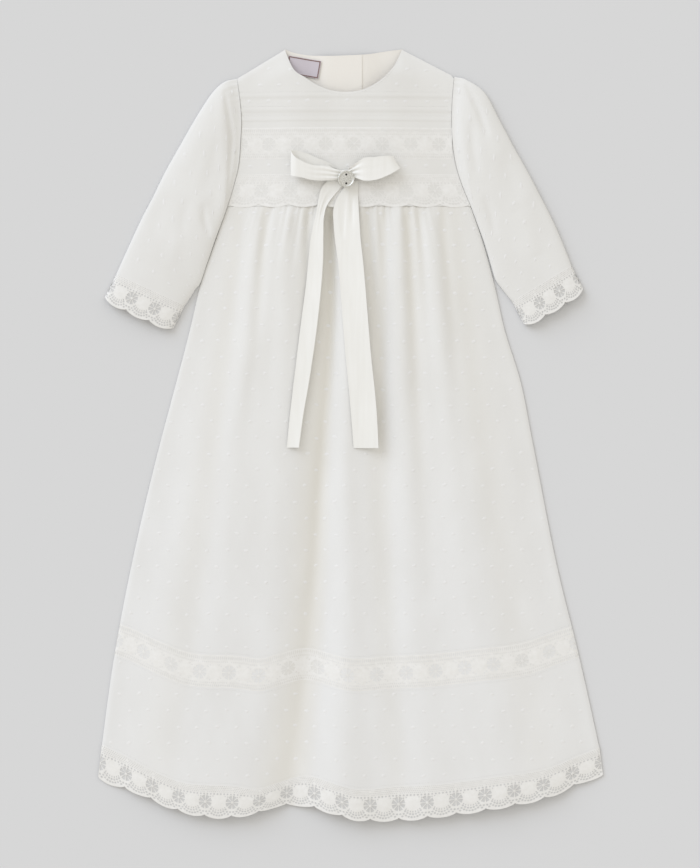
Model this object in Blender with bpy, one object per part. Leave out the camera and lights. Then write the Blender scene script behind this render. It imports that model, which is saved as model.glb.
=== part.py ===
"""A baby's christening gown, laid flat with its front up and its neck towards +Y.

The tables hold millimetres. x runs across the gown from the middle of its spread, y runs
along it from the middle of its length, and z rises from the surface that it lies on.
"""

from collections import namedtuple
import math

import bmesh
import bpy
import numpy as np
from mathutils import Vector, geometry
from mathutils.bvhtree import BVHTree

MM = 0.001

# Thicknesses and gaps
CLOTH = 1.2
LACE = 1.0
RIBBON = 1.0
SEAM_GAP = 0.3
EDGE_TOP = 2 * CLOTH + SEAM_GAP

# Body of the gown
SEAM_Y = 227.5
SHOULDER_ROUND = 26.0
SIDE_ROUND = 28.0
BAND_TOP, BAND_BOTTOM = 0.775, 0.831
LACE_PITCH = 28.0
SCALLOP_DEPTH = 3.5
LACE_FLARE = 0.016
SKIRT_COLUMNS = 48
BACK_COLUMNS = 24
SCALLOP_COLUMNS = 5

# Yoke
TUCK_EDGES = (336.0, 321.5, 312.5)
TUCK_DEPTH = 5.0
TUCK_RAISE = 0.9
INSERTION_BOTTOM, INSERTION_TOP = 274.0, 306.0
YOKE_LACE_TOP = 259.5
YOKE_POINT_STEP = 13.0

# Back opening
CENTRE_X = -5.6
UNDERLAP_X, OVERLAP_X = -20.0, 10.0
PLACKET_LIFT = 1.9
PLACKET_SLOPE = 22.0
BACK_BUTTON_RADIUS, BACK_BUTTON_THICKNESS = 5.0, 1.5
BACK_BUTTONS_Y = (368.0, 327.0, 286.0, 245.0)

# Sleeves
SLEEVE_EDGE = 1.4
SLEEVE_RING_POINTS = 20
CUFF_LACE_LENGTH = 30.5
CUFF_SCALLOP = 3.5
CUFF_CORNER = 3.0
CUFF_REPEATS = 3
CUFF_RING_POINTS = 28
SLEEVE_CLEARANCE = 0.8

# Bow
KNOT_X, KNOT_Y = -6.0, 255.5
KNOT_WIDTH, KNOT_LENGTH, KNOT_BASE, KNOT_TOP = 15.0, 18.0, 10.8, 15.6
BUTTON_X, BUTTON_Y = -5.7, 253.4
BUTTON_RADIUS, BUTTON_HOLE_RADIUS, BUTTON_HOLE_SPACING = 8.5, 0.9, 8.8
RIBBON_REACH = 6.0

# Label
LABEL_X, LABEL_Y, LABEL_WIDTH, LABEL_HEIGHT, LABEL_TURN = -48.5, 366.5, 33.0, 18.0, -10.0
LABEL_COLUMNS = 6

Armhole = namedtuple("Armhole", "y left right")
ARMHOLES = (
    Armhole(357.0, -115.0, 102.0),
    Armhole(335.0, -112.0, 100.0),
    Armhole(314.0, -110.3, 99.4),
    Armhole(292.0, -111.2, 100.2),
    Armhole(269.0, -113.0, 103.5),
    Armhole(244.0, -119.0, 111.5),
    Armhole(SEAM_Y, -124.0, 118.5),
)

Side = namedtuple("Side", "y left right")
SIDES = (
    Side(SEAM_Y, -124.0, 118.5),
    Side(194.0, -136.0, 130.0),
    Side(150.0, -151.0, 142.0),
    Side(104.0, -162.0, 152.5),
    Side(54.0, -175.0, 168.0),
    Side(-6.0, -191.0, 180.0),
    Side(-146.0, -223.5, 208.0),
    Side(-206.0, -235.0, 223.0),
    Side(-340.0, -254.0, 253.0),
)

Neck = namedtuple("Neck", "x front back")
NECK = (
    Neck(-67.0, 384.0, 384.5),
    Neck(-60.3, 367.3, 381.8),
    Neck(-47.0, 355.7, 379.0),
    Neck(-28.7, 345.2, 377.8),
    Neck(-6.0, 341.0, 378.2),
    Neck(18.0, 346.5, 379.8),
    Neck(33.0, 357.0, 382.3),
    Neck(43.0, 369.0, 383.6),
    Neck(50.0, 384.0, 384.5),
)

Shoulder = namedtuple("Shoulder", "x y")
SHOULDERS = (Shoulder(-115.0, 355.0), Shoulder(-67.0, 384.0), Shoulder(50.0, 384.0), Shoulder(102.0, 357.0))

Hem = namedtuple("Hem", "x cloth lace")
HEM = (
    Hem(-254.0, -311.0, 35.0),
    Hem(-239.0, -317.0, 34.5),
    Hem(-208.0, -332.0, 29.0),
    Hem(-175.0, -346.0, 29.0),
    Hem(-118.0, -351.0, 32.0),
    Hem(-92.0, -354.0, 24.0),
    Hem(-76.0, -349.0, 24.0),
    Hem(-45.0, -341.5, 31.0),
    Hem(-19.0, -348.0, 31.0),
    Hem(-2.0, -353.0, 31.0),
    Hem(45.0, -351.5, 34.5),
    Hem(88.0, -349.0, 33.0),
    Hem(142.0, -342.0, 32.0),
    Hem(196.0, -334.0, 28.5),
    Hem(232.0, -321.0, 27.5),
    Hem(253.0, -314.0, 30.0),
)

Rise = namedtuple("Rise", "y height")
RISES = (
    Rise(385.0, 6.3),
    Rise(227.5, 6.4),
    Rise(150.0, 7.6),
    Rise(0.0, 8.6),
    Rise(-200.0, 8.2),
    Rise(-385.0, 7.6),
)

# Each fold is a trough (depth below 0) or ridge whose middle passes the five stations
STATIONS_Y = (227.5, 134.0, -25.0, -201.0, -351.0)
Fold = namedtuple("Fold", "seam upper middle lower hem width spread depth reach")
FOLDS = (
    Fold(-27.0, -22.0, -36.0, -51.0, -80.0, 7.0, 20.0, -4.2, 4000),
    Fold(-14.0, -12.0, -16.0, -16.0, -20.0, 8.0, 22.0, 2.8, 4000),
    Fold(30.0, 29.0, 22.6, 31.0, 42.0, 5.0, 16.0, -1.8, 500),
    Fold(41.0, 44.0, 50.0, 61.0, 74.0, 8.0, 24.0, 1.8, 700),
    Fold(52.5, 57.0, 62.0, 73.0, 90.0, 4.5, 18.0, -3.0, 260),
    Fold(-88.0, -97.0, -112.0, -132.0, -152.0, 5.0, 18.0, -2.2, 170),
    Fold(-45.5, -48.0, -54.0, -70.0, -95.0, 4.5, 14.0, -2.4, 90),
    Fold(-8.5, -6.0, -2.0, 3.0, 6.0, 4.0, 12.0, -2.4, 60),
    Fold(9.5, 12.0, 16.0, 20.0, 24.0, 4.5, 14.0, -2.8, 120),
    Fold(64.0, 70.0, 80.0, 95.0, 115.0, 4.5, 14.0, -2.0, 80),
    Fold(88.0, 94.0, 104.0, 122.0, 146.0, 5.0, 16.0, -2.2, 130),
    Fold(-102.0, -106.0, -117.0, -137.0, -160.0, 9.0, 26.0, 1.5, 500),
    Fold(-69.0, -72.0, -82.0, -97.0, -118.0, 8.0, 24.0, 1.5, 500),
    Fold(-113.0, -124.0, -146.0, -174.0, -202.0, 7.0, 28.0, -1.5, 900),
    Fold(100.0, 110.0, 130.0, 155.0, 184.0, 8.0, 28.0, -1.5, 900),
    Fold(76.0, 82.0, 94.0, 114.0, 138.0, 7.0, 26.0, 1.5, 700),
)

# Rows of the front skirt, closer together where the gathers are
SKIRT_ROWS = (0.0, 0.012, 0.027, 0.046, 0.07, 0.1, 0.14, 0.185, 0.235, 0.29, 0.35, 0.42, 0.5, 0.59, 0.69)

# Rings of the sleeve on the left in the view from above, from armhole to cuff
Ring = namedtuple("Ring", "outer_x outer_y inner_x inner_y height")
LEFT_RINGS = (
    Ring(-116.0, 355.0, -124.0, 228.0, 6.4),
    Ring(-128.0, 352.0, -128.3, 216.0, 7.6),
    Ring(-140.0, 341.0, -132.0, 206.0, 8.2),
    Ring(-155.0, 318.0, -136.5, 194.0, 8.2),
    Ring(-172.0, 288.0, -141.2, 180.0, 8.2),
    Ring(-187.0, 261.0, -146.0, 166.0, 8.2),
    Ring(-199.0, 236.0, -151.2, 151.0, 8.2),
    Ring(-210.0, 215.0, -156.5, 144.0, 8.0),
    Ring(-223.0, 187.0, -161.5, 136.0, 7.6),
    Ring(-235.4, 159.5, -167.0, 128.0, 7.2),
)
RIGHT_RINGS = (
    Ring(103.0, 357.0, 119.0, 228.0, 6.4),
    Ring(115.0, 354.0, 123.3, 216.0, 7.6),
    Ring(133.0, 341.0, 127.2, 205.0, 8.2),
    Ring(147.0, 315.0, 131.5, 193.0, 8.2),
    Ring(161.0, 288.0, 135.4, 180.0, 8.2),
    Ring(176.0, 261.0, 138.8, 168.0, 8.2),
    Ring(190.0, 234.0, 142.6, 155.0, 8.2),
    Ring(202.0, 210.0, 147.5, 147.5, 8.0),
    Ring(211.0, 189.0, 153.5, 140.0, 7.6),
    Ring(219.2, 168.0, 160.0, 132.0, 7.2),
)
# How far each ring still follows the curve of the armhole
RING_BULGE = (1.0, 0.8, 0.6, 0.4, 0.2, 0.1, 0.0, 0.0, 0.0, 0.0)

# Stations of a bow loop: out along the lower ply, round the tip and back along the upper ply
Loop = namedtuple("Loop", "x y z width slant")
LEFT_LOOP = (
    Loop(-14.2, 259.0, 11.4, 10.0, 0.0),
    Loop(-24.0, 262.0, 11.4, 17.0, 0.0),
    Loop(-36.0, 264.5, 11.5, 22.0, 0.0),
    Loop(-48.0, 268.5, 12.0, 24.0, 0.0),
    Loop(-57.0, 270.0, 13.0, 24.5, 0.0),
    Loop(-60.6, 269.3, 15.0, 24.5, 0.0),
    Loop(-57.5, 267.5, 17.0, 22.5, 0.0),
    Loop(-49.0, 264.0, 17.7, 18.5, 0.0),
    Loop(-39.0, 260.5, 17.3, 16.5, 0.0),
    Loop(-28.0, 259.2, 16.2, 14.5, 0.0),
    Loop(-14.2, 258.0, 14.4, 10.0, 0.0),
)
RIGHT_LOOP = (
    Loop(2.2, 261.0, 11.4, 10.0, 0.0),
    Loop(13.0, 263.0, 11.4, 15.0, 0.0),
    Loop(26.0, 266.0, 11.6, 18.0, 0.1),
    Loop(37.0, 268.8, 12.8, 16.5, 0.35),
    Loop(44.2, 270.4, 15.2, 14.0, 0.6),
    Loop(41.0, 269.0, 17.6, 16.0, 0.45),
    Loop(33.0, 266.5, 18.4, 20.0, 0.25),
    Loop(23.0, 263.8, 18.2, 22.5, 0.1),
    Loop(12.0, 263.0, 17.2, 22.5, 0.0),
    Loop(2.2, 261.5, 14.6, 13.0, 0.0),
)

Tail = namedtuple("Tail", "y left right")
LEFT_TAIL = (
    Tail(245.6, -30.0, -11.5),
    Tail(236.0, -33.0, -19.5),
    Tail(227.0, -34.5, -25.5),
    Tail(217.0, -36.5, -28.0),
    Tail(199.0, -40.5, -28.7),
    Tail(173.0, -43.5, -29.0),
    Tail(151.0, -45.6, -30.5),
    Tail(125.0, -49.0, -33.0),
    Tail(85.0, -54.0, -38.0),
    Tail(52.0, -58.0, -43.0),
    Tail(17.0, -62.0, -49.0),
    Tail(-13.5, -65.0, -53.0),
)
RIGHT_TAIL = (
    Tail(252.0, 2.3, 8.5),
    Tail(245.0, 2.2, 9.3),
    Tail(236.0, 0.5, 9.3),
    Tail(227.0, -4.0, 8.3),
    Tail(213.0, -7.0, 7.2),
    Tail(195.0, -8.7, 8.5),
    Tail(174.0, -10.0, 10.3),
    Tail(134.0, -11.0, 14.0),
    Tail(85.0, -7.5, 18.0),
    Tail(17.0, -1.0, 25.0),
    Tail(-14.0, 1.5, 26.2),
)

Finish = namedtuple("Finish", "red green blue roughness metallic")
FINISHES = {
    "cloth": Finish(0.84, 0.83, 0.80, 0.85, 0.0),
    "lace": Finish(0.83, 0.81, 0.76, 0.80, 0.0),
    "ribbon": Finish(0.86, 0.84, 0.78, 0.45, 0.0),
    "label": Finish(0.72, 0.68, 0.71, 0.70, 0.0),
    "button": Finish(0.50, 0.50, 0.50, 0.35, 1.0),
    "back_button": Finish(0.85, 0.83, 0.78, 0.30, 0.0),
}


def along(xs, ys, x):
    """Smooth curve through the table's points, read at x."""
    xs, ys, x = (np.asarray(values, float) for values in (xs, ys, x))
    if xs[0] > xs[-1]:
        xs, ys = xs[::-1], ys[::-1]
    slopes = np.gradient(ys, xs)
    i = np.clip(np.searchsorted(xs, x) - 1, 0, len(xs) - 2)
    step = xs[i + 1] - xs[i]
    t = np.clip((x - xs[i]) / step, 0.0, 1.0)
    return (
        (1 + 2 * t) * (1 - t) ** 2 * ys[i]
        + t * (1 - t) ** 2 * step * slopes[i]
        + t * t * (3 - 2 * t) * ys[i + 1]
        + t * t * (t - 1) * step * slopes[i + 1]
    )


def column(rows, name):
    return [getattr(row, name) for row in rows]


def smooth_step(t):
    t = np.clip(t, 0.0, 1.0)
    return t * t * (3 - 2 * t)


def body_edges(y):
    """The gown's left and right edges at y: armholes above the yoke seam, side folds below it."""
    upper = [along(column(ARMHOLES, "y"), column(ARMHOLES, side), y) for side in ("left", "right")]
    lower = [along(column(SIDES, "y"), column(SIDES, side), y) for side in ("left", "right")]
    return [np.where(np.asarray(y) > SEAM_Y, a, b) for a, b in zip(upper, lower)]


def shoulder_line(x):
    """The y of the shoulder fold above x, level across the neck."""
    return np.interp(x, column(SHOULDERS, "x"), column(SHOULDERS, "y"))


def folds(x, y):
    drop = np.maximum(SEAM_Y - np.asarray(y, float), 0.0)
    share = drop / (SEAM_Y - STATIONS_Y[-1])
    total = np.zeros(np.broadcast(x, y).shape)
    for fold in FOLDS:
        middle = along(STATIONS_Y, fold[:5], y)
        width = fold.width + (fold.spread - fold.width) * share
        total = total + fold.depth * np.exp(-((x - middle) / width) ** 2) / (1 + (drop / fold.reach) ** 2)
    return total


def front_top(x, y):
    """Height of the front's outer face, without tucks."""
    x, y = np.asarray(x, float), np.asarray(y, float)
    left, right = body_edges(y)
    inside = np.minimum(x - left, right - x)
    side = smooth_step(inside / SIDE_ROUND)
    shoulder = smooth_step((shoulder_line(x) - y) / SHOULDER_ROUND)
    rise = along(column(RISES, "y"), column(RISES, "height"), y)
    gathered = np.where(y < SEAM_Y, folds(x, y), 0.0)
    return EDGE_TOP + (rise + gathered) * side * shoulder


def tucks(y):
    total = np.zeros(np.shape(y))
    for edge in TUCK_EDGES:
        level = [edge - 0.3, edge, edge + TUCK_DEPTH - 1.0, edge + TUCK_DEPTH + 0.5]
        total = total + np.interp(y, level, [0.0, TUCK_RAISE, TUCK_RAISE, 0.0])
    return total


def neck_y(x, side):
    """The y of the front or back neckline at x."""
    return float(along(column(NECK, "x"), column(NECK, side), x))


def hem_cloth(x):
    return along(column(HEM, "x"), column(HEM, "cloth"), x)


def hem_lace(x):
    return along(column(HEM, "x"), column(HEM, "lace"), x)


def skirt_point(u, v, inset=0.0):
    """Plan position on the skirt: u runs across from 0 to 1, v from the yoke seam to the hem."""
    hem_x = HEM[0].x + (HEM[-1].x - HEM[0].x) * u
    y = SEAM_Y - SEAM_GAP + (hem_cloth(hem_x) - SEAM_Y + SEAM_GAP) * v
    left, right = body_edges(np.minimum(y, SEAM_Y - 0.01))
    return left + inset + (right - left - 2 * inset) * u, y


def grid_faces(columns, rows):
    """Triangles of a grid whose rows run downwards, each row with columns + 1 points."""
    faces = []
    for r in range(rows):
        for c in range(columns):
            a = r * (columns + 1) + c
            b, d, e = a + 1, a + columns + 1, a + columns + 2
            faces += [(a, d, e), (a, e, b)]
    return faces


def material(slot):
    finish = FINISHES[slot]
    made = bpy.data.materials.new(slot)
    made.use_nodes = True
    shader = made.node_tree.nodes["Principled BSDF"]
    shader.inputs["Base Color"].default_value = (finish.red, finish.green, finish.blue, 1.0)
    shader.inputs["Roughness"].default_value = finish.roughness
    shader.inputs["Metallic"].default_value = finish.metallic
    return made


def add_object(name, points, faces, slot):
    mesh = bpy.data.meshes.new(name)
    mesh.from_pydata([Vector(p) * MM for p in points], [], faces)
    mesh.materials.append(material(slot))
    made = bpy.data.objects.new(name, mesh)
    bpy.context.scene.collection.objects.link(made)
    return made


def thick(name, plan, faces, low, high, slot):
    """A wall between two heights over a plan of points and triangles."""
    used = sorted({i for face in faces for i in face})
    place = {old: new for new, old in enumerate(used)}
    count = len(used)
    points = [(plan[i][0], plan[i][1], level[i]) for level in (high, low) for i in used]
    top = [tuple(place[i] for i in face) for face in faces]
    solid = list(top) + [tuple(i + count for i in reversed(face)) for face in top]
    edges = {(face[k], face[(k + 1) % len(face)]) for face in top for k in range(len(face))}
    for a, b in sorted(edges):
        if (b, a) not in edges:
            solid.append((b, a, a + count, b + count))
    return add_object(name, points, solid, slot)


def triangulate(outline, lines=(), extra=()):
    """Triangles inside an outline, with the given polylines kept as edges."""
    points = [Vector(p) for p in outline]
    edges = []
    for line in lines:
        start = len(points)
        points += [Vector(p) for p in line]
        edges += [(i, i + 1) for i in range(start, len(points) - 1)]
    points += [Vector(p) for p in extra]
    face = [list(range(len(outline)))]
    plan, _, faces, _, _, _ = geometry.delaunay_2d_cdt(points, edges, face, 1, 0.001)
    turned = []
    for a, b, c in faces:
        area = (plan[b] - plan[a]).cross(plan[c] - plan[a])
        turned.append((a, b, c) if area > 0 else (a, c, b))
    return [tuple(p) for p in plan], turned


def centre(plan, face):
    return tuple(sum(plan[i][axis] for i in face) / len(face) for axis in (0, 1))


def skirt_panel(name, rows, slot, wall, lift=0.0):
    """A stretch of the front skirt between its first and last row."""
    u = np.linspace(0.0, 1.0, SKIRT_COLUMNS + 1)
    xs, ys = zip(*(skirt_point(u, v) for v in rows))
    x, y = np.concatenate(xs), np.concatenate(ys)
    high = front_top(x, y) + lift
    plan = list(zip(x, y))
    return thick(name, plan, grid_faces(SKIRT_COLUMNS, len(rows) - 1), high - wall, high, slot)


def flat_panel(name, outline, slot, low=0.0, wall=CLOTH):
    plan, faces = triangulate(outline)
    return thick(name, plan, faces, np.full(len(plan), low), np.full(len(plan), low + wall), slot)


def skirt_row(v, columns):
    """Plan points across the skirt at v."""
    return list(zip(*skirt_point(np.linspace(0.0, 1.0, columns + 1), v)))


def back_panel(name, top_v, bottom_v, slot, side_rows):
    """A flat stretch of the back skirt, with points down its sides and along its lower edge."""
    rows = [skirt_row(v, BACK_COLUMNS) for v in np.linspace(top_v, bottom_v, side_rows)]
    outline = rows[0] + [row[-1] for row in rows[1:-1]] + rows[-1][::-1] + [row[0] for row in rows[-2:0:-1]]
    return flat_panel(name, outline[::-1], slot)


def make_skirt():
    gap = 0.5 * SEAM_GAP / (SEAM_Y - STATIONS_Y[-1])
    skirt_panel("skirt_front", SKIRT_ROWS + (BAND_TOP - gap,), "cloth", CLOTH)
    skirt_panel("skirt_insertion_front", (BAND_TOP + gap, BAND_BOTTOM - gap), "lace", CLOTH)
    skirt_panel("skirt_hem_front", (BAND_BOTTOM + gap, 0.9, 1.0), "cloth", CLOTH)
    back_panel("skirt_back", 0.0, BAND_TOP - gap, "cloth", 9)
    back_panel("skirt_insertion_back", BAND_TOP + gap, BAND_BOTTOM - gap, "lace", 2)
    back_panel("skirt_hem_back", BAND_BOTTOM + gap, 1.0, "cloth", 3)


def hem_lace_rows(edge, shares, short=0.0):
    """Rows of points down the hem lace from the skirt's own edge, the last one in scallops."""
    edge = np.array(edge)
    repeats = round((edge[-1, 0] - edge[0, 0]) / LACE_PITCH)
    u = np.linspace(0.0, 1.0, repeats * SCALLOP_COLUMNS + 1)
    x = edge[0, 0] + (edge[-1, 0] - edge[0, 0]) * u
    top = np.interp(x, edge[:, 0], edge[:, 1]) - SEAM_GAP
    scallop = np.abs(np.sin(math.pi * repeats * u)) ** 0.6
    length = hem_lace(x) - short - SEAM_GAP - SCALLOP_DEPTH * (1 - scallop)
    return [np.column_stack([x * (1 + LACE_FLARE * share), top - length * share]) for share in shares]


def make_hem_lace():
    edge = skirt_row(1.0, SKIRT_COLUMNS)
    edge_x, edge_y = (np.array(values) for values in zip(*edge))
    rows = hem_lace_rows(edge, (0.0, 0.5, 1.0))
    high = np.concatenate([np.interp(row[:, 0], edge_x, front_top(edge_x, edge_y)) for row in rows])
    plan = [tuple(p) for row in rows for p in row]
    thick("hem_lace_front", plan, grid_faces(len(rows[0]) - 1, 2), high - LACE, high, "lace")
    top, bottom = hem_lace_rows(skirt_row(1.0, BACK_COLUMNS), (0.0, 1.0), short=1.5)
    flat_panel("hem_lace_back", [tuple(p) for p in bottom] + [tuple(p) for p in top[::-1]], "lace", wall=LACE)


def curve_points(rows, across, up, step):
    """Points about step apart on the smooth curve of a table, from its first row to its last."""
    a, b = column(rows, across), column(rows, up)
    count = max(2, int(abs(a[-1] - a[0]) / step))
    at = np.linspace(a[0], a[-1], count + 1)
    return list(zip(at, along(a, b, at)))


def yoke_outline(neck, bottom):
    """Outline of a yoke, up the left armhole, over the neck and down the right armhole."""
    ys = np.linspace(bottom, 355.0, 12)
    left, right = body_edges(np.maximum(ys, SEAM_Y + 0.01))
    neckline = curve_points(NECK, "x", neck, 9.0)
    up = list(zip(left, ys))
    down = list(zip(right, ys))[::-1]
    return down + [(x, bottom) for x in np.linspace(right[0], left[0], 20)[1:-1]] + up + neckline


def yoke_lines():
    """Lines that the yoke's mesh keeps: tuck steps, insertion edges and the edge of the lace."""
    levels = [INSERTION_BOTTOM, INSERTION_TOP, YOKE_LACE_TOP, 0.5 * (INSERTION_BOTTOM + INSERTION_TOP)]
    for edge in TUCK_EDGES:
        levels += [edge - 0.3, edge, edge + TUCK_DEPTH - 1.0, edge + TUCK_DEPTH + 0.5]
    lines = []
    for y in levels:
        left, right = (float(value) for value in body_edges(y))
        count = int((right - left) / YOKE_POINT_STEP)
        xs = np.linspace(left, right, count + 1)
        if y > NECK[4].front:
            meets = [x for x in np.linspace(NECK[0].x, NECK[-1].x, 400) if neck_y(x, "front") < y]
            lines += [[(x, y) for x in xs if x < meets[0]] + [(meets[0], y)]]
            lines += [[(meets[-1], y)] + [(x, y) for x in xs if x > meets[-1]]]
        else:
            lines.append([(x, y) for x in xs])
    lines.append(yoke_scallops())
    return lines


def yoke_scallops():
    """Lower edge of the lace over the yoke seam, in whole scallops from armhole to armhole."""
    low, high = SEAM_Y + 2 * SEAM_GAP, SEAM_Y + 2 * SEAM_GAP + SCALLOP_DEPTH
    left, right = (float(value) for value in body_edges(SEAM_Y + 3.0))
    repeats = round((right - left) / LACE_PITCH)
    u = np.linspace(0.0, 1.0, repeats * 6 + 1)
    y = high - (high - low) * np.abs(np.sin(math.pi * repeats * u)) ** 0.6
    left, right = body_edges(y)
    return list(zip(left + (right - left) * u, y))


def make_yoke_front():
    outline = yoke_outline("front", SEAM_Y + 0.5 * SEAM_GAP)
    extra = [(x, y) for y in (250.0, 241.0, 268.0, 330.0) for x in np.arange(-100.0, 92.0, YOKE_POINT_STEP)]
    extra += [(x, y) for y in (352.0, 364.0, 374.0) for x in (-98.0, -86.0, -74.0, 62.0, 73.0, 85.0)]
    extra = [p for p in extra if p[1] < shoulder_line(p[0]) - 4.0]
    plan, faces = triangulate(outline, yoke_lines(), extra)
    x, y = (np.array([p[axis] for p in plan]) for axis in (0, 1))
    plain = front_top(x, y)
    high = plain + tucks(y)
    thick("yoke_front", plan, faces, plain - CLOTH, high, "cloth")

    scallops = np.array(yoke_scallops())
    middles = {face: centre(plan, face) for face in faces}
    band = [f for f in faces if INSERTION_BOTTOM < middles[f][1] < INSERTION_TOP]
    lace_edge = {f: np.interp(middles[f][0], scallops[:, 0], scallops[:, 1]) for f in faces}
    edge = [f for f in faces if lace_edge[f] < middles[f][1] < YOKE_LACE_TOP]
    low = high + SEAM_GAP
    thick("yoke_insertion", plan, band, low, low + LACE, "lace")
    thick("yoke_lace", plan, edge, low, low + LACE, "lace")


def placket_slope(from_left):
    """Where a back half is fully raised, and where it lies on the ground again."""
    if from_left:
        return UNDERLAP_X - 2.0, UNDERLAP_X - 2.0 - PLACKET_SLOPE
    return OVERLAP_X, OVERLAP_X + PLACKET_SLOPE


def placket_lift(x, from_left):
    """How far a back half rises over the buttons and over the other half."""
    near, far = placket_slope(from_left)
    height = PLACKET_LIFT + (LACE + SEAM_GAP if from_left else 0.0)
    return height * smooth_step((np.asarray(x, float) - far) / (near - far))


def make_yoke_back():
    """Two halves: the left one lies on the right one where they lap at the centre back."""
    whole = yoke_outline("back", SEAM_Y + 0.5 * SEAM_GAP)
    for name, from_left in (("yoke_back_left", True), ("yoke_back_right", False)):
        side, edge = (1, OVERLAP_X) if from_left else (-1, UNDERLAP_X)
        kept = [p for p in whole if side * (edge - p[0]) > 1.0]
        split = [(edge, SEAM_Y + 0.5 * SEAM_GAP), (edge, neck_y(edge, "back"))]
        start = max(range(len(kept)), key=lambda i: math.dist(kept[i - 1], kept[i]))
        outline = kept[start:] + kept[:start]
        outline += split if outline[-1][1] < SEAM_Y + 1.0 else split[::-1]
        near, far = placket_slope(from_left)
        lines = []
        for share in (0.0, 0.25, 0.5, 0.75, 1.0):
            x = near + (far - near) * share
            lines.append([(x, SEAM_Y + 1.0), (x, 300.0), (x, neck_y(x, "back") - 0.8)])
        plan, faces = triangulate(outline, lines)
        low = placket_lift([p[0] for p in plan], from_left)
        thick(name, plan, faces, low, low + LACE, "cloth")


def make_back_buttons():
    for number, y in enumerate(BACK_BUTTONS_Y, 1):
        ring = [
            (CENTRE_X + BACK_BUTTON_RADIUS * math.cos(a), y + BACK_BUTTON_RADIUS * math.sin(a))
            for a in np.linspace(0.0, 2 * math.pi, 17)[:-1]
        ]
        flat_panel(f"back_button_{number}", ring, "back_button", wall=BACK_BUTTON_THICKNESS)


def make_label():
    """A plain woven label on the inside of the back, beside the neckline."""
    turn = math.radians(LABEL_TURN)
    plan = []
    for b in (LABEL_HEIGHT / 2, -LABEL_HEIGHT / 2):
        for a in np.linspace(-LABEL_WIDTH / 2, LABEL_WIDTH / 2, LABEL_COLUMNS + 1):
            x, y = a * math.cos(turn) - b * math.sin(turn), a * math.sin(turn) + b * math.cos(turn)
            plan.append((LABEL_X + x, LABEL_Y + y))
    low = placket_lift([p[0] for p in plan], True) + LACE + 1.5 * SEAM_GAP
    thick("neck_label", plan, grid_faces(LABEL_COLUMNS, 1), low, low + LACE, "label")


def armhole_bulge(side, y, first):
    """How far the armhole's curve lies inside the straight line of the first ring."""
    share = (first.outer_y - y) / (first.outer_y - first.inner_y)
    straight = first.outer_x + (first.inner_x - first.outer_x) * share
    return along(column(ARMHOLES, "y"), column(ARMHOLES, side), y) - straight


def sleeve_ring(rings, side, number, count, wall):
    """One ring of a flattened tube: over the top from the outer edge to the inner one, back underneath."""
    ring = rings[number]
    first = rings[0]
    away = -1 if side == "left" else 1
    outer, inner = (np.array(p) for p in ((ring.outer_x, ring.outer_y), (ring.inner_x, ring.inner_y)))
    width = float(np.linalg.norm(inner - outer))
    points = []
    for k in range(count):
        a = 2 * math.pi * k / count
        s = 0.5 - 0.5 * math.cos(a)
        lift = abs(math.sin(a))
        s = (wall + s * (width - 2 * wall)) / width
        x, y = outer + (inner - outer) * s
        first_y = first.outer_y + (first.inner_y - first.outer_y) * s
        x += RING_BULGE[number] * float(armhole_bulge(side, first_y, first)) + away * SLEEVE_CLEARANCE
        if a <= math.pi:
            z = SLEEVE_EDGE + ring.height * lift ** 0.8 - wall * smooth_step(lift / 0.3)
        else:
            z = SLEEVE_EDGE * (1 - smooth_step(lift / 0.35)) + wall * smooth_step(lift / 0.35)
        points.append((x, y, float(z)))
    return points


def tube(name, outer_rings, inner_rings, slot):
    """A tube open at both ends, between an outer and an inner set of rings."""
    count, length = len(outer_rings[0]), len(outer_rings)
    points = [p for ring in outer_rings + inner_rings for p in ring]
    base = count * length
    faces = []
    for r in range(length - 1):
        for k in range(count):
            n = (k + 1) % count
            a, b, c, d = r * count + k, r * count + n, (r + 1) * count + n, (r + 1) * count + k
            faces += [(a, b, c), (a, c, d), (base + a, base + c, base + b), (base + a, base + d, base + c)]
    for k in range(count):
        n = (k + 1) % count
        last = (length - 1) * count
        faces += [(base + k, base + n, n), (base + k, n, k)]
        faces += [(last + k, last + n, base + last + n), (last + k, base + last + n, base + last + k)]
    made = add_object(name, points, faces, slot)
    face_outwards(made)
    return made


def face_outwards(made):
    """Turns every face of a closed mesh outwards."""
    work = bmesh.new()
    work.from_mesh(made.data)
    bmesh.ops.recalc_face_normals(work, faces=work.faces)
    if work.calc_volume(signed=True) < 0:
        bmesh.ops.reverse_faces(work, faces=work.faces)
    work.to_mesh(made.data)
    work.free()


def cuff_rings(rings, side, wall):
    """Rings of the lace below a cuff, the last one in scallops."""
    ring, before = rings[-1], rings[-3]
    middle = np.array([(ring.outer_x + ring.inner_x) / 2, (ring.outer_y + ring.inner_y) / 2])
    middle_before = np.array([(before.outer_x + before.inner_x) / 2, (before.outer_y + before.inner_y) / 2])
    along_sleeve = middle - middle_before
    along_sleeve /= np.linalg.norm(along_sleeve)
    top = sleeve_ring(rings, side, len(rings) - 1, CUFF_RING_POINTS, wall)
    found = []
    for share in (0.0, 0.5, 1.0):
        made = []
        for k, (x, y, z) in enumerate(top):
            s = 0.5 - 0.5 * math.cos(2 * math.pi * k / CUFF_RING_POINTS)
            lobe = abs(math.sin(CUFF_REPEATS * math.pi * s)) ** 0.6
            length = CUFF_LACE_LENGTH - CUFF_SCALLOP * (1 - lobe) - CUFF_CORNER * (2 * s - 1) ** 4
            move = SEAM_GAP + (length - SEAM_GAP) * share
            made.append((x + along_sleeve[0] * move, y + along_sleeve[1] * move, z))
        found.append(made)
    return found


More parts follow.
